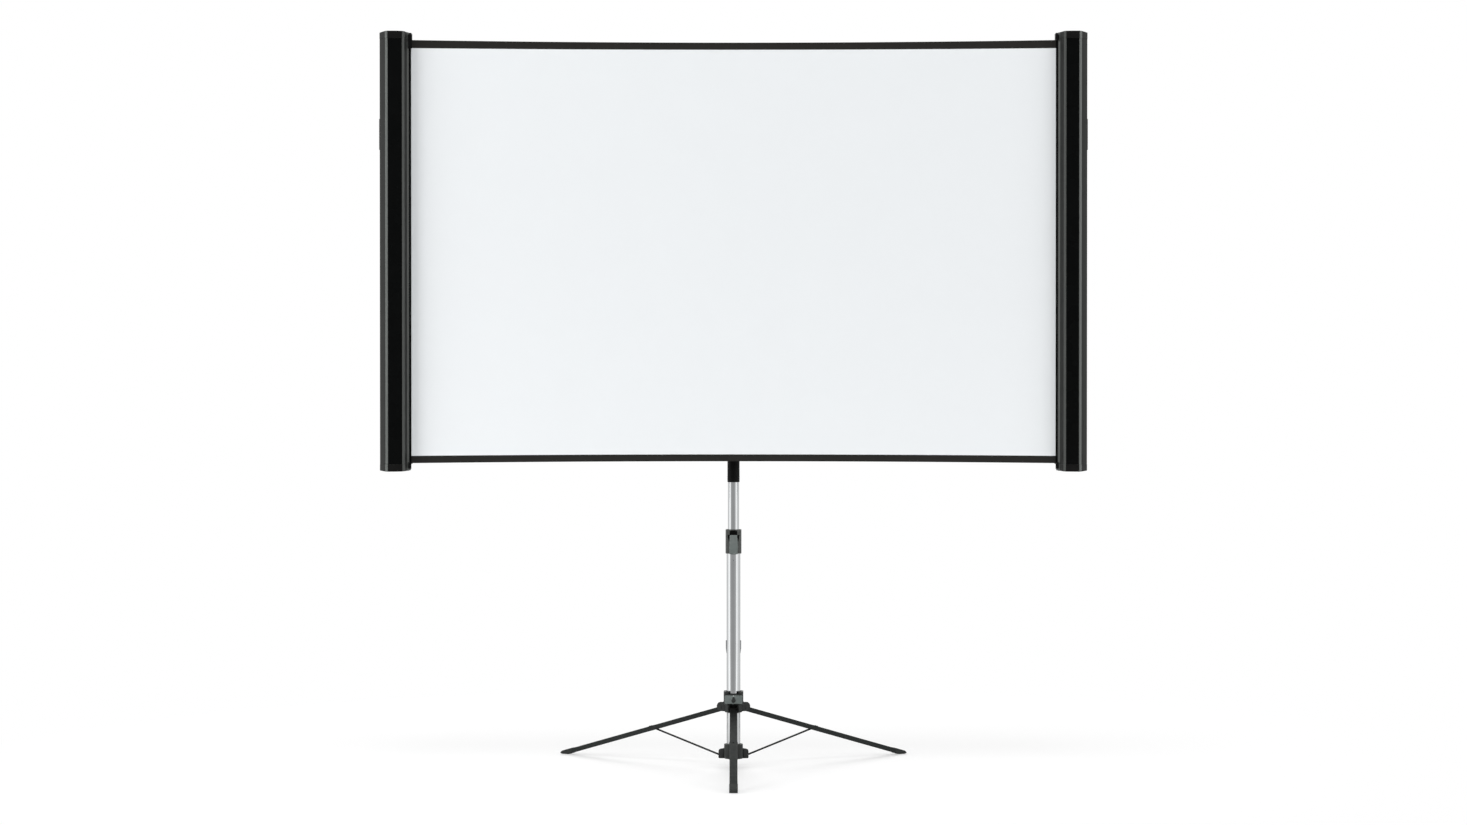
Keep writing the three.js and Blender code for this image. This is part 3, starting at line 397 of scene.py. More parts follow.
def rectangle(u: Pair, v: Pair, corner: float, steps: int = 5) -> np.ndarray:
    """A rectangle's outline with round corners."""
    (u0, u1), (v0, v1) = sorted(u), sorted(v)
    return rounded([(u0, v0), (u1, v0), (u1, v1), (u0, v1)], corner, steps)


def arc(centre: Pair, radius: float, start: float, end: float, steps: int) -> np.ndarray:
    """Points of a circle's arc from one angle to another, in degrees."""
    angle = np.radians(np.linspace(start, end, steps + 1))
    return np.stack([centre[0] + radius * np.cos(angle), centre[1] + radius * np.sin(angle)], 1)


def lathe(
    profile: Sequence[Sequence[float]] | np.ndarray,
    centre: Pair = (0.0, 0.0),
    axis: Axis = Axis.Z,
    sides: int = 48,
    ring: bool = False,
) -> Patch:
    """A profile of (radius, place along the axis) turned about the axis: u = r cos a, v = r sin a.

    Args:
        profile: the profile's points; a radius of zero closes an end.
        centre: the axis's place in the plane across it.
        axis: the direction of the axis.
        sides: number of steps round.
        ring: whether the profile's last point joins its first, as on a tube.

    Returns:
        The closed surface.
    """
    line = np.asarray(profile, float)
    angle = np.linspace(0.0, 2 * math.pi, sides, endpoint=False)[None, :]
    u = centre[0] + line[:, :1] * np.cos(angle)
    v = centre[1] + line[:, :1] * np.sin(angle)
    return skin(oriented(axis, u, v, line[:, 1:]), ring_rows=ring, capped=False)


def tube(outer: float, inner: float, low: float, high: float, rim: float = 0.3) -> Patch:
    """A straight tube along z with softened rims."""
    corners = [(inner, low), (outer, low), (outer, high), (inner, high)]
    return lathe(rounded(corners, rim, 3), sides=96, ring=True)


def round_bar(
    radius: float,
    low: float,
    high: float,
    centre: Pair,
    axis: Axis,
    rim: float = 0.4,
    sides: int = 32,
) -> Patch:
    """A solid round bar or disc with softened rims."""
    corners = [(0.0, low), (radius, low), (radius, high), (0.0, high)]
    return lathe(rounded_path(corners, rim, 3), centre, axis, sides)


def ring_block(
    outline: np.ndarray,
    bore: np.ndarray,
    low: float,
    high: float,
    edge: Pair,
    opening: float = 0.0,
) -> Patch:
    """A block with a round bore: stations go round both at the same angles.

    At each station the outline's point is where a ray at that angle leaves the outline. The wall
    runs up the outside, across the top, down the bore and back.

    Args:
        outline: outer outline, round the origin.
        bore: points of the bore's circle.
        low: lower face.
        high: upper face.
        edge: rim radius at the lower and upper face.
        opening: angle left open in front, in degrees.

    Returns:
        The closed surface.
    """
    angle = np.r_[np.arctan2(outline[:, 1], outline[:, 0]), np.arctan2(bore[:, 1], bore[:, 0])]
    half = math.radians(opening / 2)
    if opening:
        angle = np.r_[angle, half - math.pi / 2, -half - math.pi / 2]
    angle = np.unique(np.round(angle, 9))
    order = np.argsort(np.arctan2(outline[:, 1], outline[:, 0]))
    around = outline[order]
    turn = np.arctan2(around[:, 1], around[:, 0])
    closed_turn = np.r_[turn[-1] - 2 * math.pi, turn, turn[0] + 2 * math.pi]
    closed = np.vstack([around[-1:], around, around[:1]])
    index = np.clip(np.searchsorted(closed_turn, angle, side="right") - 1, 0, len(closed) - 2)
    start, end = closed[index], closed[index + 1]
    ray = np.stack([np.cos(angle), np.sin(angle)], axis=1)
    span = end - start
    cross = span[:, 0] * start[:, 1] - span[:, 1] * start[:, 0]
    reach = cross / (span[:, 0] * ray[:, 1] - span[:, 1] * ray[:, 0])
    outer = ray * reach[:, None]
    radius = float(np.mean(np.linalg.norm(bore, axis=1)))
    places, insets = edge_levels(low, high, edge)
    rings = [(outer - outer / reach[:, None] * inset, z) for z, inset in zip(places, insets)]
    rings += [(ray * radius, z) for z in (high, low)]
    grid = np.stack([oriented(Axis.Z, *ring.T, z) for ring, z in rings])
    if not opening:
        return skin(grid, ring_rows=True)
    along = (angle - half + math.pi / 2 + CLOSE) % (2 * math.pi)
    order = np.argsort(along)
    kept = order[along[order] <= 2 * (math.pi - half) + 10 * CLOSE]
    return skin(np.swapaxes(grid[:, kept], 0, 1))


def domed_head(
    radius: float, face: float, height: float, centre: Pair, axis: Axis, rim: float = 0.25
) -> Patch:
    """A rivet's head on a face: radius r cos a, height h sin a, with a short straight rim.

    Args:
        radius: the head's radius.
        face: where it sits along the axis.
        height: how far it stands off the face; negative stands the other way.
        centre: the axis's place in the plane across it.
        axis: the direction of the axis.
        rim: the straight rim's share of the height.

    Returns:
        The closed surface.
    """
    angle = np.linspace(0.0, math.pi / 2, 8)
    rise = rim + (1 - rim) * np.sin(angle)
    dome = np.stack([radius * np.cos(angle), face + height * rise], 1)
    return lathe(np.vstack([[0.0, face], [radius, face], dome]), centre, axis, 32)


def srgb(code: str) -> tuple[float, float, float, float]:
    """A screen colour such as "#8090a0" as linear values."""
    shown = np.array([int(code[i : i + 2], 16) for i in (1, 3, 5)]) / 255.0
    linear = np.where(shown <= 0.04045, shown / 12.92, ((shown + 0.055) / 1.055) ** 2.4)
    return (float(linear[0]), float(linear[1]), float(linear[2]), 1.0)


class Graph:
    """Adds nodes to a node tree and joins them."""

    def __init__(self, tree: bpy.types.NodeTree) -> None:
        """Keeps the tree that the nodes go into."""
        self.tree = tree

    def add(
        self, kind: str, inputs: dict[Any, Any] | None = None, **settings: Any
    ) -> bpy.types.Node:
        """Adds one node.

        Args:
            kind: the node's type name.
            inputs: values or sockets for its inputs, by name or number.
            settings: the node's own properties.

        Returns:
            The new node.
        """
        node = self.tree.nodes.new(kind)
        for key, value in settings.items():
            setattr(node, key, value)
        for key, value in (inputs or {}).items():
            socket = node.inputs[key]
            if isinstance(value, bpy.types.NodeSocket):
                self.tree.links.new(value, socket)
            else:
                socket.default_value = value
        return node

    def group(self, tree: bpy.types.NodeTree, **inputs: Any) -> bpy.types.Node:
        """Places a shared effect.

        Args:
            tree: the effect's node group.
            inputs: values or sockets for its inputs.

        Returns:
            The group's node.
        """
        return self.add("ShaderNodeGroup", inputs, node_tree=tree)

    def send(self, node: bpy.types.Node, sockets: dict[str, bpy.types.NodeSocket]) -> None:
        """Joins sockets to a node's inputs by name."""
        for label, socket in sockets.items():
            self.tree.links.new(socket, node.inputs[label])

    def math(self, operation: str, *values: Any) -> bpy.types.NodeSocket:
        """The result of one sum on values or sockets."""
        node = self.add("ShaderNodeMath", dict(enumerate(values)), operation=operation)
        return node.outputs[0]

    def times(self, first: Any, second: Any) -> bpy.types.NodeSocket:
        """A product."""
        return self.math("MULTIPLY", first, second)

    def plus(self, first: Any, second: Any) -> bpy.types.NodeSocket:
        """A sum."""
        return self.math("ADD", first, second)

    def part(self, vector: Any, index: int) -> bpy.types.NodeSocket:
        """One coordinate of a vector."""
        return self.add("ShaderNodeSeparateXYZ", {0: vector}).outputs[index]

    def mix(self, factor: Any, first: Any, second: Any) -> bpy.types.NodeSocket:
        """A colour between two colours."""
        node = self.add("ShaderNodeMix", {0: factor, 6: first, 7: second}, data_type="RGBA")
        return node.outputs[2]

    def noise(self, vector: Any, scale: Any, detail: float = 2.0) -> bpy.types.NodeSocket:
        """A noise value from 0 to 1."""
        inputs = {"Vector": vector, "Scale": scale, "Detail": detail}
        return self.add("ShaderNodeTexNoise", inputs).outputs[0]

    def span(self, value: Any, low: Any, high: Any) -> bpy.types.NodeSocket:
        """A value's place between two limits, kept from 0 to 1."""
        inputs = {"Value": value, "From Min": low, "From Max": high}
        return self.add("ShaderNodeMapRange", inputs, clamp=True).outputs[0]


class NodeGroups:
    """The effects that several finishes share, each built once."""

    POLE_FRONT = 0.12

    def __init__(self) -> None:
        """Builds every group."""
        self.grain = self._grain()
        self.lines = self._lines()
        self.weave = self._weave()
        self.pile = self._pile()
        self.wear = self._wear()
        self.dust = self._dust()
        self.hollow = self._painted_hub_shade()

    @staticmethod
    def _tree(
        name: str, inputs: dict[str, float | None], outputs: Sequence[str] = ("Mask", "Height")
    ) -> tuple[Graph, Any, Any]:
        """An empty group with its sockets.

        Args:
            name: the group's name.
            inputs: input names with their usual values; None marks a vector.
            outputs: output names, all plain values.

        Returns:
            A graph on the group, its input node's outputs and its output node.
        """
        tree = bpy.data.node_groups.new(name, "ShaderNodeTree")
        for label, value in inputs.items():
            kind = "NodeSocketVector" if value is None else "NodeSocketFloat"
            socket = tree.interface.new_socket(name=label, in_out="INPUT", socket_type=kind)
            if value is not None:
                socket.default_value = value
        for label in outputs:
            tree.interface.new_socket(name=label, in_out="OUTPUT", socket_type="NodeSocketFloat")
        graph = Graph(tree)
        return graph, graph.add("NodeGroupInput").outputs, graph.add("NodeGroupOutput")

    def _grain(self) -> bpy.types.NodeTree:
        """Moulded or sprayed grain: slow mottle for colour and a fine height."""
        inputs = {"Vector": None, "Size": 900.0}
        graph, given, sink = self._tree("surface_grain", inputs, ("Mottle", "Height"))
        fine = graph.noise(given["Vector"], given["Size"], 3.0)
        slow = graph.noise(given["Vector"], graph.times(given["Size"], 0.035), 4.0)
        graph.send(sink, {"Mottle": graph.span(slow, 0.3, 0.7), "Height": fine})
        return graph.tree

    def _lines(self) -> bpy.types.NodeTree:
        """Drawing lines along z: noise pulled out a hundredfold along the length."""
        graph, given, sink = self._tree("drawn_lines", {"Vector": None, "Size": 700.0})
        inputs = {"Vector": given["Vector"], "Scale": (1.0, 1.0, 0.01)}
        fine = graph.noise(graph.add("ShaderNodeMapping", inputs).outputs[0], given["Size"], 3.0)
        graph.send(sink, {"Mask": graph.span(fine, 0.35, 0.65), "Height": fine})
        return graph.tree

    def _weave(self) -> bpy.types.NodeTree:
        """Plain weave: a warp and a weft wave, one over the other by turns."""
        graph, given, sink = self._tree("weave", {"Vector": None, "Threads": 1800.0})
        parts = graph.add("ShaderNodeSeparateXYZ", {0: given["Vector"]}).outputs
        across, along = (graph.times(parts[i], given["Threads"]) for i in (0, 1))
        warp, weft = graph.math("SINE", across), graph.math("SINE", along)
        over = graph.times(warp, weft)
        slubs = graph.noise(given["Vector"], 420.0, 3.0)
        height = graph.plus(graph.times(over, 0.5), slubs)
        graph.send(sink, {"Mask": graph.span(slubs, 0.3, 0.7), "Height": height})
        return graph.tree

    def _pile(self) -> bpy.types.NodeTree:
        """Short fibres in tufts: fine noise over slower tufts."""
        graph, given, sink = self._tree("pile", {"Vector": None, "Size": 2600.0})
        fibre = graph.noise(given["Vector"], given["Size"], 2.0)
        tuft = graph.noise(given["Vector"], 260.0, 2.0)
        graph.send(sink, {"Mask": graph.times(fibre, tuft), "Height": graph.plus(fibre, tuft)})
        return graph.tree

    def _wear(self) -> bpy.types.NodeTree:
        """Rubbed edges: the mesh's edge attribute broken up by noise."""
        graph, given, sink = self._tree("edge_wear", {"Vector": None, "Amount": 0.5}, ("Mask",))
        edge = graph.add("ShaderNodeAttribute", attribute_name="edge", attribute_type="GEOMETRY")
        patchy = graph.span(graph.noise(given["Vector"], 160.0, 4.0), 0.42, 0.68)
        rubbed = graph.times(edge.outputs["Fac"], patchy)
        graph.send(sink, {"Mask": graph.times(rubbed, given["Amount"])})
        return graph.tree

    def _dust(self) -> bpy.types.NodeTree:
        """Fine dust: more on faces that look up, thinned by noise."""
        graph, given, sink = self._tree("dust", {"Vector": None, "Amount": 0.3}, ("Mask",))
        normal = graph.add("ShaderNodeNewGeometry").outputs["Normal"]
        up = graph.span(graph.part(normal, 2), 0.2, 1.0)
        thin = graph.span(graph.noise(given["Vector"], 90.0, 5.0), 0.35, 0.75)
        settled = graph.times(graph.plus(up, 0.08), thin)
        graph.send(sink, {"Mask": graph.times(settled, given["Amount"])})
        return graph.tree

    def _painted_hub_shade(self) -> bpy.types.NodeTree:
        """Painted shade and reflection of the hub, dark towards it along y: 0 at Start to 1 at End,
        none behind the pole.
        """
        inputs = {"Vector": None, "Start": 0.0, "End": 0.1}
        graph, given, sink = self._tree("hub_side", inputs, ("Mask",))
        deep = graph.part(given["Vector"], 1)
        near = graph.span(deep, given["Start"], given["End"])
        front = graph.math("LESS_THAN", deep, self.POLE_FRONT)
        graph.send(sink, {"Mask": graph.times(near, front)})
        return graph.tree


@dataclass(frozen=True)
class Finish:
    """What one kind of surface is made of."""

    name: str
    slot: str
    base: str
    tone: str
    roughness: float
    pattern: Pattern = Pattern.MOULDED
    metallic: float = 0.0
    specular: float = 0.5
    size: float = 900.0
    bump: float = 0.12
    depth: float = 0.0001
    wear: float = 0.0
    worn: str = "#8c8e8c"
    dust: float = 0.0
    sheen: float = 0.0
    # Span along y in metres over which a painted shade and reflection of the hub darkens the
    # colour.
    shade: Pair | None = None

    SHADED = "#050505"
    DUST = "#9a9893"
    ROUGHNESS_SPAN = 0.08
    DUST_ROUGHNESS = 0.3
    MOTTLE_SHARE = 0.5
    GRAIN_SHARE = 0.3

    def make(self, groups: NodeGroups) -> bpy.types.Material:
        """Builds the material.

        Args:
            groups: the shared effects.

        Returns:
            The material.
        """
        material = bpy.data.materials.new(self.name)
        material.use_nodes = True
        graph = Graph(material.node_tree)
        shader = material.node_tree.nodes["Principled BSDF"]
        if self.pattern is Pattern.WOVEN:
            place = graph.add("ShaderNodeUVMap", uv_map="cloth").outputs[0]
        else:
            place = graph.add("ShaderNodeTexCoord").outputs["Object"]
        grain = graph.group(groups.grain, Vector=place, Size=self.size)
        worn = graph.group(groups.wear, Vector=place, Amount=self.wear).outputs["Mask"]
        dusty = graph.group(groups.dust, Vector=place, Amount=self.dust).outputs["Mask"]
        mottle, height = grain.outputs["Mottle"], grain.outputs["Height"]
        fine = {
            Pattern.DRAWN: groups.lines,
            Pattern.WOVEN: groups.weave,
            Pattern.PILE: groups.pile,
        }.get(self.pattern)
        if fine is not None:
            extra = graph.group(fine, Vector=place).outputs
            slow = graph.times(mottle, self.MOTTLE_SHARE)
            mottle = graph.plus(slow, graph.times(extra["Mask"], 1 - self.MOTTLE_SHARE))
            height = graph.plus(graph.times(height, self.GRAIN_SHARE), extra["Height"])
        colour = graph.mix(mottle, srgb(self.base), srgb(self.tone))
        # Painted shade and reflection of the hub: the colour turns towards SHADED near it.
        if self.shade is not None:
            start, end = self.shade
            hub_shade_mask = graph.group(groups.hollow, Vector=place, Start=start, End=end)
            colour = graph.mix(hub_shade_mask.outputs["Mask"], colour, srgb(self.SHADED))
        colour = graph.mix(worn, colour, srgb(self.worn))
        colour = graph.mix(dusty, colour, srgb(self.DUST))
        least = self.roughness - self.ROUGHNESS_SPAN / 2
        rough = graph.plus(least, graph.times(mottle, self.ROUGHNESS_SPAN))
        rough = graph.plus(rough, graph.times(dusty, self.DUST_ROUGHNESS))
        inputs = {"Strength": self.bump, "Distance": self.depth, "Height": height}
        bump = graph.add("ShaderNodeBump", inputs).outputs[0]
        graph.send(shader, {"Base Color": colour, "Roughness": rough, "Normal": bump})
        shader.inputs["Metallic"].default_value = self.metallic
        shader.inputs["Specular IOR Level"].default_value = self.specular
        shader.inputs["Sheen Weight"].default_value = self.sheen
        return material


WOVEN = partial(Finish, pattern=Pattern.WOVEN, specular=0.2, size=300.0)
RIDGE = partial(
    Finish,
    pattern=Pattern.DRAWN,
    metallic=0.1,
    specular=0.3,
    size=700.0,
    bump=0.05,
    wear=0.2,
    dust=0.05,
)
SPRAYED = partial(
    Finish, pattern=Pattern.PAINTED, specular=0.12, size=1500.0, bump=0.08, wear=0.25, dust=0.04
)
DULL = partial(Finish, specular=0.15, wear=0.2, worn="#303131")
MOULDED = partial(Finish, wear=0.3)
RUBBER = partial(Finish, size=1200.0, wear=0.15, worn="#3c3b39")

FINISHES = {
    finish.name: finish
    for finish in (
        WOVEN("white_cloth", "screen_white", "#edf0f2", "#eef1f3", 0.86),
        WOVEN("black_band", "screen_black", "#1f1e1c", "#262523", 0.8, bump=0.2, sheen=0.1),
        WOVEN("black_backing", "screen_black", "#141414", "#1a1a1a", 0.85, specular=0.3, bump=0.25),
        Finish(
            "black_backing_wound", "screen_black", "#141414", "#1a1a1a", 0.85,
            Pattern.PAINTED, specular=0.3, bump=0.25, depth=0.0002,
        ),
        # Painted highlight: the white of the small pip on the hub's cover.
        Finish("white_plastic", "screen_white", "#d4d8d8", "#dfe2e2", 0.4, bump=0.05, depth=0.0002),
        # Painted highlights: two lighter copies of the casing's grey for the ridge faces that catch
        # the light.
        RIDGE("ridge_outer", "anodised_grey", "#5c5f5d", "#636664", 0.34, worn="#8a8c8a"),
        RIDGE("ridge_inner", "anodised_grey", "#494b49", "#4f514f", 0.34, worn="#7a7c7a"),
        RIDGE(
            "satin_casing", "anodised_grey", "#252625", "#2a2b2a", 0.3,
            metallic=0.0, specular=0.08, wear=0.15, worn="#5c5e5c", dust=0.06,
        ),
        Finish(
            "gloss_strip", "strip_black", "#050606", "#070808", 0.28,
            specular=0.05, size=500.0, bump=0.03, depth=0.0002, dust=0.02,
        ),
        Finish(
            "brush_lip", "lip_black", "#080808", "#0f0f0e", 0.95,
            Pattern.PILE, specular=0.05, bump=0.6, depth=0.0006,
        ),
        MOULDED(
            "cap_moulding", "cap_plastic", "#161717", "#1b1c1c", 0.45,
            specular=0.25, worn="#4a4b4b", dust=0.08,
        ),
        DULL("socket_moulding", "cap_plastic", "#080909", "#0c0c0c", 0.5, specular=0.1, dust=0.05),
        DULL("cap_inlay", "strip_black", "#0a0a0a", "#0e0e0d", 0.4, dust=0.04),
        MOULDED(
            "grey_cap", "cap_plastic", "#272827", "#2c2d2c", 0.36,
            specular=0.08, bump=0.1, worn="#7c7e7c", dust=0.06,
        ),
        Finish(
            "drawn_tube", "bright_tube", "#c6c8c9", "#ced0d1", 0.12,
            Pattern.DRAWN, metallic=1.0, bump=0.04, wear=0.2, worn="#e4e5e5", dust=0.04,
        ),
        Finish(
            "clamp_moulding", "clamp_plastic", "#404240", "#484a48", 0.42,
            wear=0.35, worn="#7d7f7d", dust=0.06,
        ),
        Finish(
            "lever_moulding", "lever_plastic", "#616967", "#6a706e", 0.4,
            specular=0.35, bump=0.1, wear=0.35, worn="#9a9d9b", dust=0.05,
        ),
        MOULDED(
            "hub_moulding", "hub_plastic", "#222423", "#272928", 0.45,
            specular=0.2, bump=0.15, worn="#6a6c6a", dust=0.1,
        ),
        MOULDED(
            "cover_moulding", "cover_plastic", "#606866", "#69706e", 0.42,
            specular=0.35, bump=0.1, worn="#858987", dust=0.06,
        ),
        MOULDED(
            "button_moulding", "hub_plastic", "#202221", "#262827", 0.4, bump=0.1, worn="#5c5e5c"
        ),
        SPRAYED("sprayed_steel", "painted_steel", "#232625", "#272a29", 0.45, worn="#6a6c68"),
        # Leg steel with a painted shade and reflection of the hub near the front leg's top.
        SPRAYED(
            "leg_steel", "painted_steel", "#212423", "#252827", 0.45,
            worn="#6a6c68", shade=(-0.045, 0.068),
        ),
        SPRAYED(
            "black_steel", "painted_steel", "#131515", "#181a1a", 0.4,
            specular=0.15, worn="#565854", dust=0.03,
        ),
        RUBBER(
            "leg_foot", "foot_rubber", "#2c2e2d", "#323433", 0.7, specular=0.15, bump=0.2, dust=0.05
        ),
        Finish("blackened_pin", "zinc_steel", "#131414", "#181919", 0.4, specular=0.2, bump=0.05),
        RUBBER(
            "foot_moulding", "foot_rubber", "#151515", "#1c1c1b", 0.8,
            specular=0.2, bump=0.3, depth=0.0002, dust=0.2,
        ),
        Finish(
            "zinc_plate", "zinc_steel", "#a2a5a6", "#b0b3b4", 0.3,
            metallic=1.0, size=1400.0, bump=0.06, wear=0.2, worn="#c8caca", dust=0.05,
        ),
    )
}


def read(items: Any, name: str, width: int = 1, kind: type = float) -> np.ndarray:
    """One property of every item of a mesh collection.

    Args:
        items: the collection, such as a mesh's vertices.
        name: the property's name.
        width: how many numbers it has.
        kind: the numbers' type.

    Returns:
        One number for each item, or one row.
    """
    values = np.empty(len(items) * width, kind)
    items.foreach_get(name, values)
    return values if width == 1 else values.reshape(-1, width)


def edge_strength(
    mesh: bpy.types.Mesh, turns: Pair = (0.18, 0.58), widths: Pair = (0.8, 1.4)
) -> np.ndarray:
    """How sharply the surface turns outwards at each face corner, from 0 to 1.

    For each edge between two faces the angle between their normals counts where the second
    face's centre lies behind the first face. A vertex takes the greatest of its edges, and only
    the narrow faces of a rounded edge, twice their area over their outline, keep it.

    Args:
        mesh: the finished mesh.
        turns: angles in radians at which it starts and is full.
        widths: face widths in millimetres at which it is full and ends.

    Returns:
        One value for each face corner.
    """
    faces = len(mesh.polygons)
    edge_of = read(mesh.loops, "edge_index", kind=np.int32)
    vertex_of = read(mesh.loops, "vertex_index", kind=np.int32)
    total = read(mesh.polygons, "loop_total", kind=np.int32)
    normal, centre = read(mesh.polygons, "normal", 3), read(mesh.polygons, "center", 3)
    ends = read(mesh.edges, "vertices", 2, np.int32)
    face_of = np.repeat(np.arange(faces), total)
    order = np.argsort(edge_of, kind="stable")
    edges, owner = edge_of[order], face_of[order]
    pair = np.flatnonzero(edges[1:] == edges[:-1])
    first, second, edge = owner[pair], owner[pair + 1], edges[pair]
    angle = np.arccos(np.clip(np.sum(normal[first] * normal[second], axis=1), -1, 1))
    outward = np.sum((centre[second] - centre[first]) * normal[first], axis=1) < 0
    turn = np.where(outward, angle, 0.0)
    strength = np.zeros(len(mesh.vertices))
    np.maximum.at(strength, ends[edge, 0], turn)
    np.maximum.at(strength, ends[edge, 1], turn)
    strength = np.clip((strength - turns[0]) / (turns[1] - turns[0]), 0.0, 1.0)
    points, area = read(mesh.vertices, "co", 3), read(mesh.polygons, "area")
    long = np.linalg.norm(points[ends[:, 0]] - points[ends[:, 1]], axis=1)
    width = 2 * area / np.bincount(face_of, long[edge_of], faces) / MM
    narrow = np.clip((widths[1] - width) / (widths[1] - widths[0]), 0.0, 1.0)
    return strength[vertex_of] * narrow[face_of]


@dataclass
class Workshop:
    """Makes finished objects in metres and hangs them on the frame's bodies."""

    frame: dict[str, Any]
    pole_y: float = 0.0
    materials: dict[str, bpy.types.Material] = field(default_factory=dict)
    count: int = 0

    MERGE = 2e-6

    def __post_init__(self) -> None:
        """Finds the pole's axis and builds every finish."""
        low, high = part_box("outer_tube")
        self.pole_y = (low.y + high.y) / 2 / MM
        groups = NodeGroups()
        self.materials = {name: finish.make(groups) for name, finish in FINISHES.items()}

    @property
    def origin(self) -> np.ndarray:
        """The pole's foot in the row frame, in millimetres."""
        return np.array([0.0, self.pole_y, 0.0])

    def join(self, name: str, patches: Iterable[Patch]) -> bpy.types.Mesh:
        """One mesh of closed surfaces, each with its normals outwards.

        Args:
            name: the mesh's name.
            patches: the surfaces.

        Returns:
            The mesh.
        """
        whole = bmesh.new()
        for patch in patches:
            part = bmesh.new()
            raw = bpy.data.meshes.new("raw")
            raw.from_pydata(((patch.points + self.origin) * MM).tolist(), [], patch.faces)
            part.from_mesh(raw)
            bmesh.ops.remove_doubles(part, verts=part.verts, dist=self.MERGE)
            bmesh.ops.recalc_face_normals(part, faces=part.faces)
            part.to_mesh(raw)
            part.free()
            whole.from_mesh(raw)
            bpy.data.meshes.remove(raw)
        mesh = bpy.data.meshes.new(name)
        whole.to_mesh(mesh)
        whole.free()
        return mesh

    def piece(
        self,
        name: str,
        patches: Patch | Iterable[Patch],
        finish: str,
        body: str,
        replaces: str = "",
        cloth: bool = False,
        areas: dict[str, AreaTest] | None = None,
    ) -> bpy.types.Object:
        """Makes one object from closed surfaces.

        Args:
            name: the object's name.
            patches: one surface or several.
            finish: name of its finish.
            body: the body that it rides on.
            replaces: node of the frame that it stands for.
            cloth: whether it carries a map of its flat cloth.
            areas: further finishes, each with a test of the faces' centres in millimetres.

        Returns:
            The object.
        """
        mesh = self.join(name, [patches] if isinstance(patches, Patch) else patches)
        mesh.shade_smooth()
        mesh.set_sharp_from_angle(angle=math.radians(SMOOTH_ANGLE))
        attribute = mesh.attributes.new("edge", "FLOAT", "CORNER")
        attribute.data.foreach_set("value", edge_strength(mesh).astype(np.float32))
        if cloth:
            self.map_cloth(mesh)
        mesh.materials.append(self.materials[finish])
        centres = read(mesh.polygons, "center", 3) / MM - self.origin
        index = np.zeros(len(mesh.polygons), np.int32)
        for number, (label, test) in enumerate((areas or {}).items(), start=1):
            mesh.materials.append(self.materials[label])
            index[test(centres)] = number
        mesh.polygons.foreach_set("material_index", index)
        obj = bpy.data.objects.new(name, mesh)
        bpy.context.scene.collection.objects.link(obj)
        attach(obj, body)
        if replaces:
            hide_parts(replaces)
        self.count += 1
        LOG.info("%s: %d faces, %s, rides on %s", name, len(mesh.polygons), finish, body)
        return obj

    @staticmethod
    def map_cloth(mesh: bpy.types.Mesh) -> None:
        """Gives a flat cloth its own map: the place across and the height, in metres."""
        vertex_of = read(mesh.loops, "vertex_index", kind=np.int32)
        flat = read(mesh.vertices, "co", 3)[vertex_of][:, [0, 2]]
        layer = mesh.uv_layers.new(name="cloth")
        layer.data.foreach_set("uv", flat.astype(np.float32).ravel())

    def dress(self, finish: str, *nodes: str) -> None:
        """Gives nodes of the frame that stay in view their finish."""
        for node in nodes:
            mesh = self.frame["nodes"][node].data
            mesh.materials.clear()
            mesh.materials.append(self.materials[finish])
            LOG.info("%s keeps its solid, %s", node, finish)


@dataclass(frozen=True)
class Hem:
    """A tensioned edge of the cloth: its height at the lips and its bow in the middle."""

    level: float
    bow: float

    def height(self, x: np.ndarray, lip: float) -> np.ndarray:
        """Height at x: level + bow (1 - (x / lip)^2), straight past the lips."""
        share = np.minimum(1.0, np.abs(x) / lip)
        return self.level + self.bow * (1 - share**2)


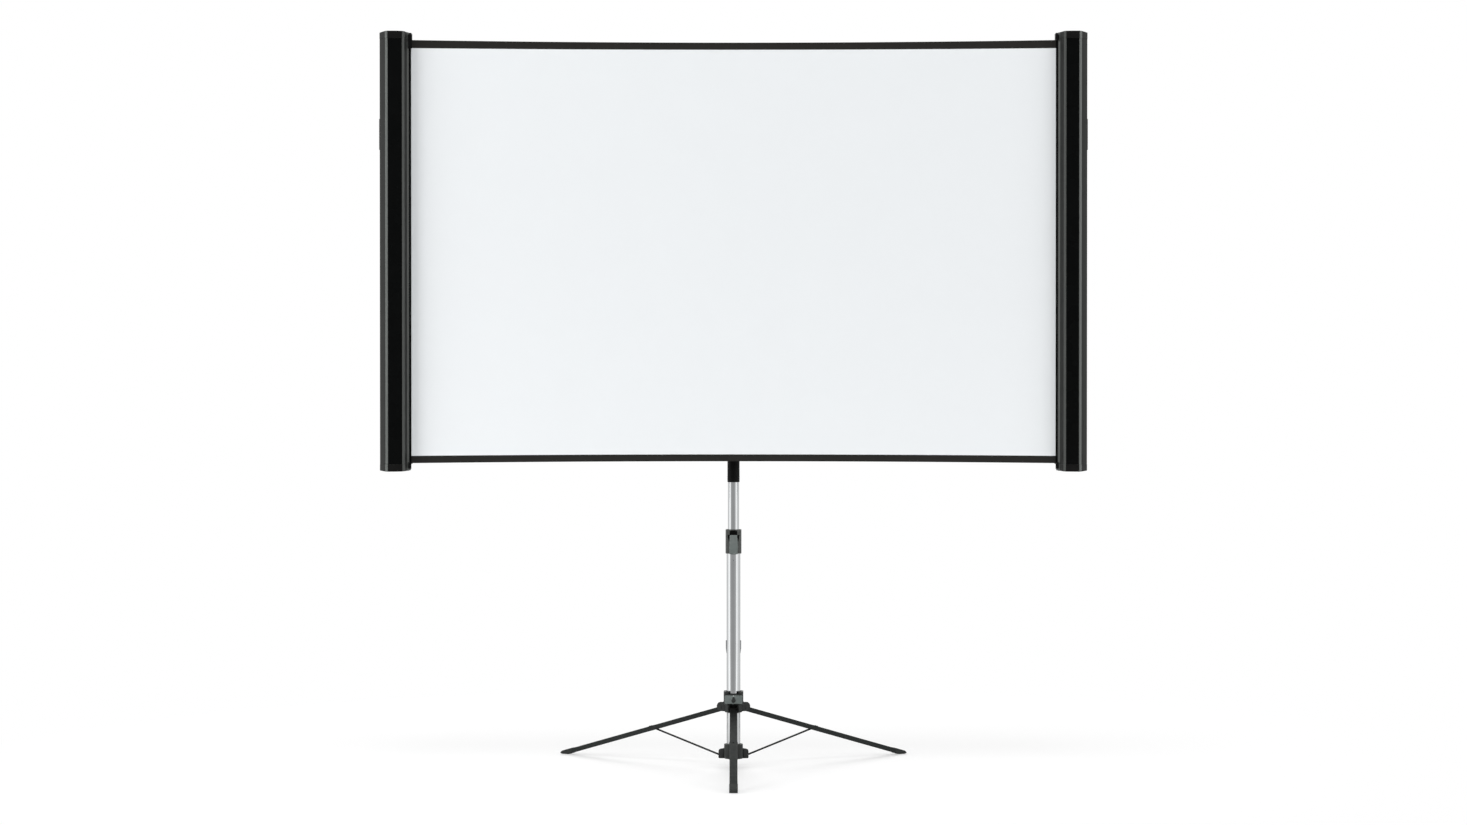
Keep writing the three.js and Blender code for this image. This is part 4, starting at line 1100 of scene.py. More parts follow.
@dataclass
class Fabric:
    """The stretched sheet: white cloth, black backing and a black band along each edge."""

    shop: Workshop
    lip: float = 861.0
    reach: float = 939.0
    plane: float = -69.0
    white: tuple[Hem, Hem] = (Hem(838.0, 4.0), Hem(1927.0, -4.5))
    outside: tuple[Hem, Hem] = (Hem(818.5, 5.0), Hem(1948.5, -7.0))
    folded_share: float = 0.0885
    seam: float = 0.3
    backing_share: float = 0.9
    columns: int = 220

    WHITE_FACES = (-0.35, 0.0)
    BACKING_FACES = (0.1, 0.4)
    BAND_FACES = (-0.45, 0.45)
    WAVE = 0.2
    WAVE_LENGTHS = (61.0, 173.0)
    WAVE_LEVEL = 1380.0

    def strip(self, hems: tuple[Hem, Hem], depth: Pair, rows: int) -> Patch:
        """A flat strip of cloth between two bowed edges.

        Height is low(x) + v (high(x) - low(x)). The face also waves by a fifth of a
        millimetre, nothing at the lips, as stretched cloth does near its free edges.

        Args:
            hems: lower and upper edge.
            depth: front and back faces behind the fabric plane.
            rows: number of steps up.

        Returns:
            The closed surface.
        """
        x = np.linspace(-self.reach, self.reach, self.columns + 1)[:, None]
        v = np.linspace(0.0, 1.0, rows + 1)[None, :]
        bottom, top = (hem.height(x, self.lip) for hem in hems)
        z = bottom + v * (top - bottom)
        fade = np.clip(1 - np.abs(x) / self.lip, 0.0, 1.0) ** 0.5
        across, along = self.WAVE_LENGTHS
        wave = self.WAVE * fade * np.sin(x / across) * np.cos((z - self.WAVE_LEVEL) / along)
        front, back = (oriented(Axis.Y, x, z, self.plane + face + wave) for face in depth)
        return skin(np.concatenate([front, back[:, ::-1]], axis=1))

    def add(
        self, name: str, finish: str, hems: tuple[Hem, Hem], depth: Pair, rows: int, node: str = ""
    ) -> None:
        """Makes one cloth and gives it a mesh of its own.

        Args:
            name: the cloth's name.
            finish: its finish.
            hems: lower and upper edge.
            depth: front and back faces behind the fabric plane.
            rows: number of steps up.
            node: the node that it stands for.
        """
        patch = self.strip(hems, depth, rows)
        obj = self.shop.piece(name, patch, finish, "screen_frame", node, cloth=True)
        x = np.linspace(-self.reach, self.reach, 2001)
        tall = hems[1].height(x, self.lip) - hems[0].height(x, self.lip)
        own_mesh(obj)

    def build(self) -> None:
        """Makes the four cloths."""
        low, high = self.white
        over = self.backing_share * self.seam
        backing = (Hem(low.level - over, low.bow), Hem(high.level + over, high.bow))
        top = (Hem(high.level + self.seam, high.bow), self.outside[1])
        bottom = (self.outside[0], Hem(low.level - self.seam, low.bow))
        white, faces = "projection_surface", self.WHITE_FACES
        self.add("screen_white_cloth", "white_cloth", self.white, faces, 140, white)
        self.add("screen_backing", "black_backing", backing, self.BACKING_FACES, 60)
        self.add("band_top", "black_band", top, self.BAND_FACES, 8, "border_band_top")
        self.add("band_bottom", "black_band", bottom, self.BAND_FACES, 8, "border_band_bottom")


@dataclass
class Casing:
    """One upright casing with its front strip, brush lip, end caps, paddle, rail and slider."""

    shop: Workshop
    side: Side
    lip_x: float = 861.0
    front: float = -95.0
    width: float = 84.0
    depth: float = 60.5
    wall: float = 2.2
    base: float = 796.0
    top: float = 1971.0
    cap: float = 20.0
    crown: float = 3.0
    crown_middle: float = 46.0
    crown_half: float = 39.0
    crest: float = 20.4
    strip: Pair = (25.3, 59.8)
    paddle: Pair = (1656.0, 1739.0)
    pivots: Pair = (896.0, 1392.5)
    rail_x: float = 30.0
    rail_back: float = -28.8
    layers: dict[str, float] = field(default_factory=dict)

    FRONT_SETBACK = (0.5, 0.9, 0.9, 0.6, 0.25, 0.2, 0.2, 0.25, 0.5, 1.2)
    CAP_SETBACK = (0.4, 0.9, 0.9, 0.8, 0.8, 1.2, 1.5, 1.5, 1.5, 1.5, 1.5, 0.4, 0.4)
    ROUND = 1.5
    SLOT_X = 5.3
    SLOT_BACK = 27.0
    CHAMFER = 4.0
    GROOVE = 1.2
    OUTER_RIDGE_END = 67.2
    CAP_PROUD = 0.3
    CAP_RIM = 0.7
    CAP_MIDDLE_DEPTH = 32.0
    NARROW_BOTTOM = 4.9
    SCREW_PLACES = ((74.0, 44.0), (11.0, 44.0))
    PADDLE_DEPTH = (32.0, 46.0)
    RIB_DEPTH = (34.5, 43.5)
    RIBS = 9
    RAIL_HALF = 13.0
    RAIL_DEPTH = 5.4
    RAIL_SCREWS = (980.0, 1180.0, 1560.0, 1740.0, 1936.0)
    BOSS_REACH = 34.0
    SLIDER_HALF = 14.0

    @property
    def ends(self) -> Pair:
        """Heights at which the shell meets its caps."""
        return self.base + self.cap, self.top - self.cap

    @property
    def front_line(self) -> tuple[Pair, ...]:
        """The shell's front from the cloth's slot to the outer wall, the strip in its groove."""
        inner, outer = self.strip
        return (
            (self.SLOT_X, 25.0),
            (self.SLOT_X, 22.0),
            (10.3, 16.6),
            (inner - 6.0, 1.6),
            (inner - 1.6, 0.0),
            (inner, 0.0),
            (inner, self.GROOVE),
            (outer, self.GROOVE),
            (outer, 0.0),
            (outer + 1.6, 0.0),
            (outer + 7.0, 2.6),
            (self.width, 24.6),
        )

    def back_line(self, near: float = 0.0) -> tuple[Pair, ...]:
        """The shell's back from the outer wall to the cloth's slot, its inner wall at near."""
        flat, cut = self.depth, self.depth - self.CHAMFER
        outer = ((self.width, cut), (self.width - self.CHAMFER, flat))
        inner = ((near + self.CHAMFER, flat), (near, cut), (near, self.SLOT_BACK))
        return (*outer, *inner, (self.SLOT_X, self.SLOT_BACK))

    def placed(self, patch: Patch) -> Patch:
        """A surface in casing sizes set in place."""
        return patch.on_side(self.side, self.lip_x, self.front)

    def sizes(self, centres: np.ndarray) -> tuple[np.ndarray, np.ndarray]:
        """Places outwards from the lip and back from the front."""
        return self.side.sign * centres[:, 0] - self.lip_x, centres[:, 1] - self.front

    def outer_ridge_highlight(self, centres: np.ndarray) -> np.ndarray:
        """Faces of the ridge between the strip and the outer facet, which get a painted highlight.
        """
        across, deep = self.sizes(centres)
        return (across > self.strip[1]) & (across < self.OUTER_RIDGE_END) & (deep < 2.9)

    def inner_ridge_highlights(self, centres: np.ndarray) -> np.ndarray:
        """Faces of the ridge beside the strip and of the one beside the lip, which get a painted
        highlight.
        """
        across, deep = self.sizes(centres)
        inner = self.strip[0]
        beside_strip = (across > inner - 6.3) & (across < inner) & (deep < 2.0)
        beside_lip = (across > 5.0) & (across < 10.5) & (deep > 16.0) & (deep < 22.4)
        return beside_strip | beside_lip

    def shell(self) -> list[Patch]:
        """The drawn aluminium shell: one wall with the cloth's slot and the paddle's window."""
        low, high = self.ends
        window = (self.paddle[0] - 0.3, self.paddle[1] + 0.3)
        front, setback, turn = self.front_line, self.FRONT_SETBACK, self.ROUND
        deep = self.PADDLE_DEPTH
        whole = rounded_path([*front, *self.back_line()], (*setback, *(turn,) * 5, 0.4))
        before = rounded_path([*front, (self.width, deep[0] - 0.3)], (*setback, turn))
        after = rounded_path([(self.width, deep[1] + 0.3), *self.back_line()], (*(turn,) * 4, 0.4))
        spans = (
            (whole, low, window[0], (0.25, 0.0)),
            (whole, window[1], high, (0.0, 0.25)),
            (before, *window, 0.0),
            (after, *window, 0.0),
        )
        return [
            self.placed(slab(thickened(path, self.wall), start, end, edge=edge, strip=True))
            for path, start, end, edge in spans
        ]

    def crown_rise(self, across: np.ndarray, power: float = 2.6) -> np.ndarray:
        """How far a cap's end rises: crown (1 - |a|^power), a being 0 in the middle, 1 beside."""
        share = np.clip(np.abs(across - self.crown_middle) / self.crown_half, 0.0, 1.0)
        return self.crown * (1 - share**power)

    def cap_body(self, face: float, up: float) -> Patch:
        """An end cap: rings of the casing's outline that close to its middle under a low crown.

        Args:
            face: the shell's end.
            up: 1 for a top cap and -1 for a bottom cap.

        Returns:
            The closed surface.
        """
        line, near = self.front_line, 0.0 if up > 0 else self.NARROW_BOTTOM
        outline = rounded((*line[1:5], *line[9:], *self.back_line(near)), self.CAP_SETBACK, 4)
        step = mitres(outline)
        proud, rim = self.CAP_PROUD, self.CAP_RIM
        outline = outline - proud * step
        inner = outline + rim * step
        middle = np.array([sum(self.strip) / 2, self.CAP_MIDDLE_DEPTH])
        tall = self.cap - self.crown
        levels = [(outline + proud * step, proud), (outline, 2 * proud)]
        for a in np.linspace(0.0, math.pi / 2, 5):
            levels.append((outline + rim * (1 - np.cos(a)) * step, tall - rim + rim * np.sin(a)))
        for share in np.linspace(1.0, 0.02, 14)[1:]:
            levels.append((middle + share * (inner - middle), tall))
        plan = np.stack([level[0] for level in levels])
        rise = np.repeat([[level[1]] for level in levels], len(outline), axis=1)
        topness = np.clip((rise - 2 * proud) / (tall - 2 * proud), 0.0, 1.0) ** 3
        rise = rise + self.crown_rise(plan[:, :, 0]) * topness
        return skin(oriented(Axis.Z, plan[..., 0], plan[..., 1], face + up * rise))

    def cap_tab(self, place: str, face: float, up: float) -> list[Patch]:
        """The tab over the lip's end and the bridge behind it; the upper left one is the longest.

        Args:
            place: top or bottom.
            face: the shell's end.
            up: 1 for a top cap and -1 for a bottom cap.

        Returns:
            Two closed surfaces.
        """
        tall, gap, thick = self.cap - self.crown, 0.5, 2.5
        top = place == "top"
        reach, drop = (3.0, 26.0) if top and self.side.sign < 0 else (1.2 if top else -0.6, 5.0)
        line = np.array([(-reach, self.crest), (5.0, self.crest), (6.6, 19.4)])
        plan = without_repeats(np.vstack([line - (0.0, gap), (line - (0.0, gap + thick))[::-1]]))
        foot, end = sorted((face - up * drop, face + up * (tall - 5.0)))
        low, high = sorted((face + up * 0.3, face + up * (tall - 4.5)))
        bridge = rectangle((-1.5 if top else 0.4, 10.3), (self.crest - gap, 29.2), 0.6)
        return [slab(plan, foot, end, edge=0.6), slab(bridge, low, high, edge=0.5)]

    def cap_front(self, face: float, up: float) -> Patch:
        """The dark plate on a cap's front, in line with the strip, its end arched like the crown.

        Args:
            face: the shell's end.
            up: 1 for a top cap and -1 for a bottom cap.

        Returns:
            The closed surface.
        """
        gap, inset, proud = 0.2, 0.4, 0.45
        left, right = self.strip[0] + gap, self.strip[1] - gap
        across = np.linspace(left, right, 25)
        end = self.cap - self.crown + self.crown_rise(across) - inset
        line = np.stack([across, face + up * end], axis=1)
        base = np.array([[right, face + up * inset], [left, face + up * inset]])
        return slab(np.vstack([line, base]), -proud, 0.6, Axis.Y, (0.2, 0.0))

    def cap_screws(self, face: float, up: float) -> list[Patch]:
        """Two pan-head screws on a cap's end."""
        places = np.array(self.SCREW_PLACES)
        ends = face + up * (self.cap - self.crown + self.crown_rise(places[:, 0]) - 0.5)
        return [
            domed_head(3.2, end, up * 1.6, tuple(place), Axis.Z) for end, place in zip(ends, places)
        ]

    def build_shell(self) -> None:
        """Makes the shell, its strip and its lip."""
        name, body = self.side.name, f"casing_{self.side.name}"
        piece, ends = self.shop.piece, self.ends
        node = f"casing_shell_{name}"
        # The shell's ridge faces take painted highlights.
        piece(f"shell_{name}", self.shell(), "satin_casing", body, node, areas=self.ridge_highlights)
        across = (self.strip[0] + 0.3, self.strip[1] - 0.3)
        strip = slab(rectangle(across, (0.2, self.GROOVE), 0.3), *ends, edge=0.2)
        piece(f"strip_{name}", self.placed(strip), "gloss_strip", body, f"front_strip_{name}")
        crest = [(0.0, 25.0), (0.0, 22.0), (2.5, self.crest), (5.0, 22.0), (5.0, 25.0)]
        lip = slab(rounded(crest, (0.3, 0.8, 1.4, 0.8, 0.3)), *ends, edge=0.2)
        piece(f"lip_{name}", self.placed(lip), "brush_lip", body, f"slot_lip_{name}")

    @property
    def ridge_highlights(self) -> dict[str, AreaTest]:
        """Tests for the faces with painted highlights, lighter copies of the casing's grey on the
        ridge faces, by their finish.
        """
        return {"ridge_outer": self.outer_ridge_highlight, "ridge_inner": self.inner_ridge_highlights}

    def build_caps(self) -> None:
        """Makes the end caps with their tabs, front plates and screws."""
        name, body = self.side.name, f"casing_{self.side.name}"
        piece, (low, high) = self.shop.piece, self.ends
        for place, face, up in (("top", high, 1.0), ("bottom", low, -1.0)):
            cap, node = self.placed(self.cap_body(face, up)), f"end_cap_{place}_{name}"
            # The caps' ridge faces take painted highlights too.
            piece(f"cap_{place}_{name}", cap, "grey_cap", body, node, areas=self.ridge_highlights)
            tabs = [self.placed(tab) for tab in self.cap_tab(place, face, up)]
            piece(f"cap_tab_{place}_{name}", tabs, "socket_moulding", body)
            front = self.placed(self.cap_front(face, up))
            piece(f"cap_front_{place}_{name}", front, "cap_inlay", body)
            screws = [self.placed(screw) for screw in self.cap_screws(face, up)]
            piece(f"cap_screws_{place}_{name}", screws, "zinc_plate", body)

    def build_paddle(self) -> None:
        """Makes the release paddle: a ribbed bar in the window of the outer wall."""
        low, high = self.paddle
        side, half = self.width, 0.9
        outline = rectangle(self.PADDLE_DEPTH, self.paddle, 2.5)
        bar = slab(outline, side - 4.4, side + 2.2, Axis.X, (0.2, 0.9))
        rib = (side + 1.0, side + 2.6)
        ribs = [
            slab(rectangle(self.RIB_DEPTH, (z - half, z + half), 0.6), *rib, Axis.X)
            for z in np.linspace(low + 12.0, high - 12.0, self.RIBS)
        ]
        name = f"paddle_{self.side.name}"
        patches = [self.placed(patch) for patch in (bar, *ribs)]
        self.shop.piece(name, patches, "cap_moulding", name, f"release_{name}")

    def stem(self, role: str, start: float, level: float) -> list[Patch]:
        """A stem out of the rail through one arm, with a rivet's head behind the arm.

        Args:
            role: the arm's role, rising or falling.
            start: where the stem starts.
            level: its height.

        Returns:
            Closed surfaces.
        """
        centre, layer = (self.side.sign * (self.lip_x + self.rail_x), level), self.layers[role]
        return [
            round_bar(4.0, start, layer + 1.0, centre, Axis.Y),
            domed_head(8.0, layer + 0.3, 2.4, centre, Axis.Y),
        ]

    def block(self, half: float, deep: Pair, high: Pair, edge: float = 0.4) -> Patch:
        """A block centred on the rail.

        Args:
            half: half its width.
            deep: its front and back.
            high: its bottom and top.
            edge: radius of its rims.

        Returns:
            The closed surface.
        """
        centre = self.side.sign * (self.lip_x + self.rail_x)
        return box((centre - half, centre + half), deep, high, edge)

    def build_rail(self) -> None:
        """Makes the rear rail with its boss, and the slider that runs in it."""
        name, body = self.side.name, f"casing_{self.side.name}"
        centre, half = self.side.sign * (self.lip_x + self.rail_x), self.RAIL_HALF
        back, base, lip = self.rail_back, self.rail_back - self.RAIL_DEPTH, 5.5
        pivot, level = self.pivots
        low, high = pivot - self.BOSS_REACH, self.top - self.cap
        floor = [(-half, back), (-half, base), (half, base), (half, back)]
        inside = [(-lip, back), *floor, (lip, back)]
        wall = thickened(rounded_path(inside, 0.6), 1.2)
        channel = slab(wall, low, high, edge=0.2, strip=True).moved(x=centre)
        boss = self.block(
            half - 0.6, (base + 0.6, back + 0.05), (low + 0.5, pivot + self.BOSS_REACH), 0.6
        )
        stem = self.stem("falling", base + 1.2, pivot)
        screws = [domed_head(3.0, base + 1.1, 0.45, (centre, z), Axis.Y) for z in self.RAIL_SCREWS]
        rail = [channel, boss, *stem, *screws]
        self.shop.piece(f"rail_{name}", rail, "sprayed_steel", body, f"rear_rail_{name}")
        tall = (level - self.SLIDER_HALF, level + self.SLIDER_HALF)
        block = self.block(11.3, (base + 1.7, back - 1.7), tall)
        key = self.block(5.0, (base + 1.9, back + 1.2), tall)
        patches = [block, key, *self.stem("rising", base + 1.7, level)]
        slider = f"slider_{name}"
        self.shop.piece(slider, patches, "cap_moulding", slider, f"slider_block_{name}")

    def build(self) -> None:
        """Makes the whole casing."""
        self.build_shell()
        self.build_caps()
        self.build_paddle()
        self.build_rail()


@dataclass
class Scissor:
    """Four flat arms, their pivots, the spine, its carriage and the socket under it."""

    shop: Workshop
    levels: Pair = (896.0, 1392.5)
    rail: float = 891.0
    width: float = 20.0
    thick: float = 4.5
    rear: float = -14.0
    front: float = -19.1
    spine: Pair = (30.0, 20.0)
    spine_levels: Pair = (846.3, 1935.0)
    socket: tuple[float, float, float] = (766.0, 826.0, 870.0)

    PIN = 4.0
    HEAD = 8.0
    HEAD_RISE = 2.3
    SUNK = 0.3
    SLEEVE = 3.5
    SLEEVE_HALF = 14.0

    def layer(self, role: str, side: Side) -> float:
        """Rear face of an arm: the right rising and left falling arms lie behind the others."""
        return self.rear if (role == "rising") == (side.sign > 0) else self.front

    def arm(self, role: str, side: Side) -> Patch:
        """A flat bar with half-round ends, turned to its slope.

        Args:
            role: rising or falling.
            side: the side that the arm reaches to.

        Returns:
            The closed surface.
        """
        run, rise = self.rail, self.levels[1] - self.levels[0]
        length, half = math.hypot(run, rise), self.width / 2
        ends = [arc((length, 0.0), half, -90, 90, 20), arc((0.0, 0.0), half, 90, 270, 20)]
        layer = self.layer(role, side)
        bar = slab(without_repeats(np.vstack(ends)), layer - self.thick, layer, Axis.Y, 0.7)
        slope = math.degrees(math.atan2(rise, run)) * (1 if role == "rising" else -1)
        turn = slope if side.sign > 0 else 180.0 - slope
        start = self.levels[0] if role == "rising" else self.levels[1]
        return bar.turned(Axis.Y, -turn).moved(z=start)

    def pin(self, x: float, z: float, back: float, front: float) -> list[Patch]:
        """A riveted pin between two faces, a dome on each end.

        Args:
            x: its place across.
            z: its height.
            back: rear face that the rear head lies on.
            front: front face that the front head lies on.

        Returns:
            Closed surfaces.
        """
        front, back = front - self.SUNK, back + self.SUNK
        return [
            round_bar(self.PIN, front, back, (x, z), Axis.Y),
            domed_head(self.HEAD, back, self.HEAD_RISE, (x, z), Axis.Y),
            domed_head(self.HEAD, front, -self.HEAD_RISE, (x, z), Axis.Y),
        ]

    def build_arms(self) -> None:
        """Makes the arms and the pins where they cross."""
        piece = self.shop.piece
        for side in SIDES:
            for role in ("rising", "falling"):
                name = f"{role}_{side.name}"
                body, node = f"{role}_arm_{side.name}", f"scissor_arm_{name}"
                piece(f"arm_{name}", self.arm(role, side), "satin_casing", body, node)
            x, z = side.sign * self.rail / 2, sum(self.levels) / 2
            pin = self.pin(x, z, self.rear, self.front - self.thick)
            name, body = f"crossing_rivet_{side.name}", f"rising_arm_{side.name}"
            piece(name, pin, "zinc_plate", body, f"crossing_pin_{side.name}")

    def block(self, out: float, high: Pair, edge: float, corner: float) -> Patch:
        """A block round the spine or inside it.

        Args:
            out: how far it stands out from the spine's faces.
            high: its bottom and top.
            edge: radius of its rims.
            corner: setback of its upright edges.

        Returns:
            The closed surface.
        """
        x, y = self.spine[0] / 2 + out, self.spine[1] / 2 + out
        return box((-x, x), (-y, y), high, edge, corner)

    def build_spine(self) -> None:
        """Makes the spine with its plug, the lower pivot and the carriage."""
        deep, piece = self.spine[1] / 2, self.shop.piece
        top, body = self.spine_levels[1], "screen_frame"
        bar = self.block(0.0, self.spine_levels, 0.4, 2.0)
        piece("spine", bar, "satin_casing", body, "spine_bar")
        plug = [
            self.block(-0.2, (top, top + 2.5), 1.0, 2.0),
            self.block(-2.4, (top + 2.0, top + 3.2), 0.4, 1.0),
        ]
        piece("spine_plug", plug, "cap_moulding", body)
        low, high = self.levels
        front = self.front - self.thick
        rear = self.rear + self.SUNK
        pin = self.pin(0.0, low, deep, front)
        spacer = round_bar(self.HEAD, rear, -deep - self.SUNK, (0.0, low), Axis.Y)
        piece("spine_rivet", [*pin, spacer], "zinc_plate", body, "spine_pin")
        span = (high - self.SLEEVE_HALF, high + self.SLEEVE_HALF)
        sleeve = self.block(self.SLEEVE, span, 1.2, 3.0)
        bands = [
            self.block(self.SLEEVE + 0.5, (z - 1.5, z + 1.5), 0.6, 3.2)
            for z in (high - 10.0, high + 10.0)
        ]
        outer, centre, front = deep + self.SLEEVE, (0.0, high), front - self.SUNK
        stud = round_bar(self.PIN, front, self.SUNK - outer, centre, Axis.Y)
        head = domed_head(self.HEAD, front, -self.HEAD_RISE, centre, Axis.Y)
        collar = round_bar(self.HEAD, rear, -outer, centre, Axis.Y)
        carriage = [sleeve, *bands, stud, head, collar]
        piece("carriage", carriage, "cap_moulding", "carriage", "scissor_carriage")

    def build_socket(self) -> None:
        """Makes the socket: a round neck on the pole and a square head round the spine."""
        low, neck, high = self.socket
        radius, shoulder = 16.35, neck + 4.0
        corners = [(0.0, low), (radius, low), (radius, shoulder), (0.0, shoulder)]
        head = slab(rectangle((-20.0, 20.0), (-15.0, 15.0), 5.0), neck, high, edge=(2.0, 1.2))
        ribs = [
            round_bar(16.9, z - 0.8, z + 0.8, (0.0, 0.0), Axis.Z, 0.5, 64)
            for z in (low + 8.0, low + 14.0)
        ]
        centre = (0.0, neck + 20.0)
        knob = [
            round_bar(3.6, 15.0, 17.4, centre, Axis.Y),
            domed_head(2.4, 17.4, 1.0, centre, Axis.Y),
        ]
        patches = [lathe(rounded_path(corners, (0.8, 0.1)), sides=64), head, *ribs, *knob]
        self.shop.piece("socket", patches, "socket_moulding", "screen_frame", "screen_socket")

    def build(self) -> None:
        """Makes the whole scissor."""
        self.build_arms()
        self.build_spine()
        self.build_socket()


@dataclass
class Pole:
    """The telescopic pole: outer tube, inner tube, rivet and guide lugs."""

    shop: Workshop
    outer_radius: float = 18.5
    outer_bore: float = 17.0
    outer: Pair = (22.0, 612.0)
    inner_radius: float = 15.0
    inner_wall: float = 1.4
    inner: Pair = (205.0, 765.7)
    spigot: Pair = (12.0, 819.7)
    rivet_level: float = 554.7
    lug: Pair = (304.0, 339.0)

    def lug_patch(self, side: Side) -> Patch:
        """A guide lug: square above, tapered to nothing below."""
        face, low, high = self.outer_radius, *self.lug
        root, crest = face - 0.4, face + 2.3
        corners = [(root, low), (face + 0.3, low), (crest, low + 14.0), (crest, high), (root, high)]
        outline = rounded(corners, (0.3, 0.3, 2.0, 0.9, 0.6), 4)
        outline[:, 0] *= side.sign
        return slab(outline, -4.0, 4.0, Axis.Y, 0.2)

    def inner_patch(self) -> Patch:
        """The inner tube, drawn in to a spigot at its top."""
        low, top = self.inner
        radius, (root, end), wall = self.inner_radius, self.spigot, self.inner_wall
        corners = [
            (radius - wall, low),
            (radius, low),
            (radius, top),
            (root, top),
            (root, end),
            (root - wall, end),
            (root - wall, top - 12.0),
            (radius - wall, top - 27.0),
        ]
        return lathe(rounded(corners, 0.3, 3), sides=96, ring=True)

    def build(self) -> None:
        """Makes the pole's pieces."""
        piece = self.shop.piece
        outer = tube(self.outer_radius, self.outer_bore, *self.outer, 0.5)
        piece("tube_outer", outer, "drawn_tube", "stand", "outer_tube")
        piece("tube_inner", self.inner_patch(), "drawn_tube", "mast", "inner_tube")
        centre, face = (0.0, self.rivet_level), -self.outer_radius
        rivet = [
            domed_head(2.4, face, -0.9, centre, Axis.Y),
            round_bar(1.2, face - 0.6, -self.outer_bore, centre, Axis.Y),
        ]
        piece("rivet", rivet, "zinc_plate", "stand", "tube_rivet")
        for side in SIDES:
            name = side.name
            piece(f"lug_{name}", self.lug_patch(side), "drawn_tube", "stand", f"tube_wedge_{name}")
        self.shop.dress("cap_moulding", "mast_bush")


@dataclass
class HeightClamp:
    """The clamp on the outer tube: a collar with a pocket, and the lever in it."""

    shop: Workshop
    level: Pair = (574.0, 638.0)
    half: float = 21.4
    front: float = -27.0
    back: float = 21.0
    pocket: float = 6.4
    corners: Pair = (4.8, 9.0)
    lever_top: float = 624.0
    lever_foot: float = 572.0
    lever_faces: Pair = (-27.6, -21.1)
    pin: Pair = (-24.1, 621.0)
    pin_half: float = 20.4
    arch_level: float = 631.8
    arch_radius: float = 5.0

    HEEL = 604.0

    @property
    def pocket_top(self) -> float:
        """Height at which the pocket opens to the recess over the lever."""
        return self.lever_top + 0.5

    def pocket_half(self, z: np.ndarray) -> np.ndarray:
        """Half width of the pocket: beside the lever, flared at its top, and the recess above."""
        low = np.interp(z, [self.HEEL, self.pocket_top], [12.25, 16.45])
        share = np.clip((z - self.arch_level) / self.arch_radius, 0, 1)
        arch = 10.2 - self.arch_radius * (1 - np.sqrt(np.clip(1 - share**2, 0, 1)))
        return np.where(z > self.pocket_top, arch, low)

    def pocket_painted_shade(self, centres: np.ndarray) -> np.ndarray:
        """Faces of the collar inside its pocket, painted near-black as the shade in the recess."""
        across, deep, high = np.abs(centres[:, 0]), centres[:, 1], centres[:, 2]
        inside = (deep > self.front + 2.0) & (deep < self.front + self.pocket + 0.3)
        return inside & (across < 16.8) & (high > self.level[0] + 1.0)

    @staticmethod
    def quarter(
        x: np.ndarray, y: np.ndarray, radius: float, start: float
    ) -> tuple[np.ndarray, np.ndarray]:
        """A round corner of every ring: a quarter circle about (x, y) from a start angle."""
        angle = np.radians(start + np.linspace(0.0, 90.0, 9))[None, :]
        return x + radius * np.cos(angle), y + radius * np.sin(angle)

    def collar(self) -> Patch:
        """The collar: one ring for each level, each with the pocket's width at that level.

        Returns:
            The closed surface.
        """
        low, high = self.level
        opening, closing, arch = self.pocket_top, high - 1.2, self.arch_level
        flare = np.linspace(self.HEEL, opening, 5)
        below = np.r_[low, low + 0.8, low + 1.6, low + 3, 590, flare, opening + 0.01, arch]
        round_top = arch + self.arch_radius * np.sin(np.linspace(0.15, 1.0, 7) * math.pi / 2)
        z = np.r_[below, round_top, closing + 0.01, high - 0.4, high]
        half = self.pocket_half(z)
        rims = ([low, low + 0.8, low + 1.6, high - 0.4, high], [1.3, 0.35, 0.0, 0.0, 0.5])
        inset = np.interp(z, *rims)[:, None]
        deep = (self.front + np.where(z > closing, 0.02, self.pocket))[:, None]
        side, front, back = self.half - inset, self.front + inset, self.back - inset
        near, far = self.corners
        parts = [
            self.quarter(side - near, front + near, near, -90.0),
            self.quarter(side - far, back - far, far, 0.0),
            self.quarter(far - side, back - far, far, 90.0),
            self.quarter(near - side, front + near, near, 180.0),
            (np.stack([-half, -half, half, half], axis=1), np.hstack([front, deep, deep, front])),
        ]
        x, y = (np.hstack([part[index] for part in parts]) for index in (0, 1))
        return skin(oriented(Axis.Z, x, y, z[:, None]))

    def lever(self) -> Patch:
        """The lever: rings up its length, wider below its neck, with a slightly hollow face.

        Returns:
            The closed surface.
        """
        top, foot, heel = self.lever_top, self.lever_foot, self.HEEL
        ends = ([foot, foot + 0.6, foot + 1.6, foot + 3.0], [622.6, 623.6, top])
        blade, neck = np.linspace(foot + 5, heel, 9), np.linspace(heel + 2, self.pin[1], 7)
        z = np.r_[ends[0], blade, neck, ends[1]]
        waist = ([foot, foot + 1.6, foot + 4, heel, top], [10.2, 11.3, 11.75, 11.75, 9.5])
        half = np.interp(z, *waist)
        swell = (
            [foot, foot + 1.6, 585, heel, 612, 621, 623.6, top],
            [3.2, 0.9, 0.2, 0.9, 0.5, 0.3, 1.6, 3.0],
        )
        face = self.lever_faces[0] + np.interp(z, *swell)
        rear = self.lever_faces[1] - np.interp(z, [foot, foot + 2, top - 3, top], [1, 0, 0, 2.2])
        ring = rounded([(-1.0, 0.0), (1.0, 0.0), (1.0, 1.0), (-1.0, 1.0)], 0.16, 5)
        across, deep = ring[None, :, 0], ring[None, :, 1]
        bulge = 0.35 * (1 - across**2) * (1 - deep)
        y = face[:, None] + (rear - face)[:, None] * deep - bulge
        return skin(oriented(Axis.Z, half[:, None] * across, y, z[:, None]))

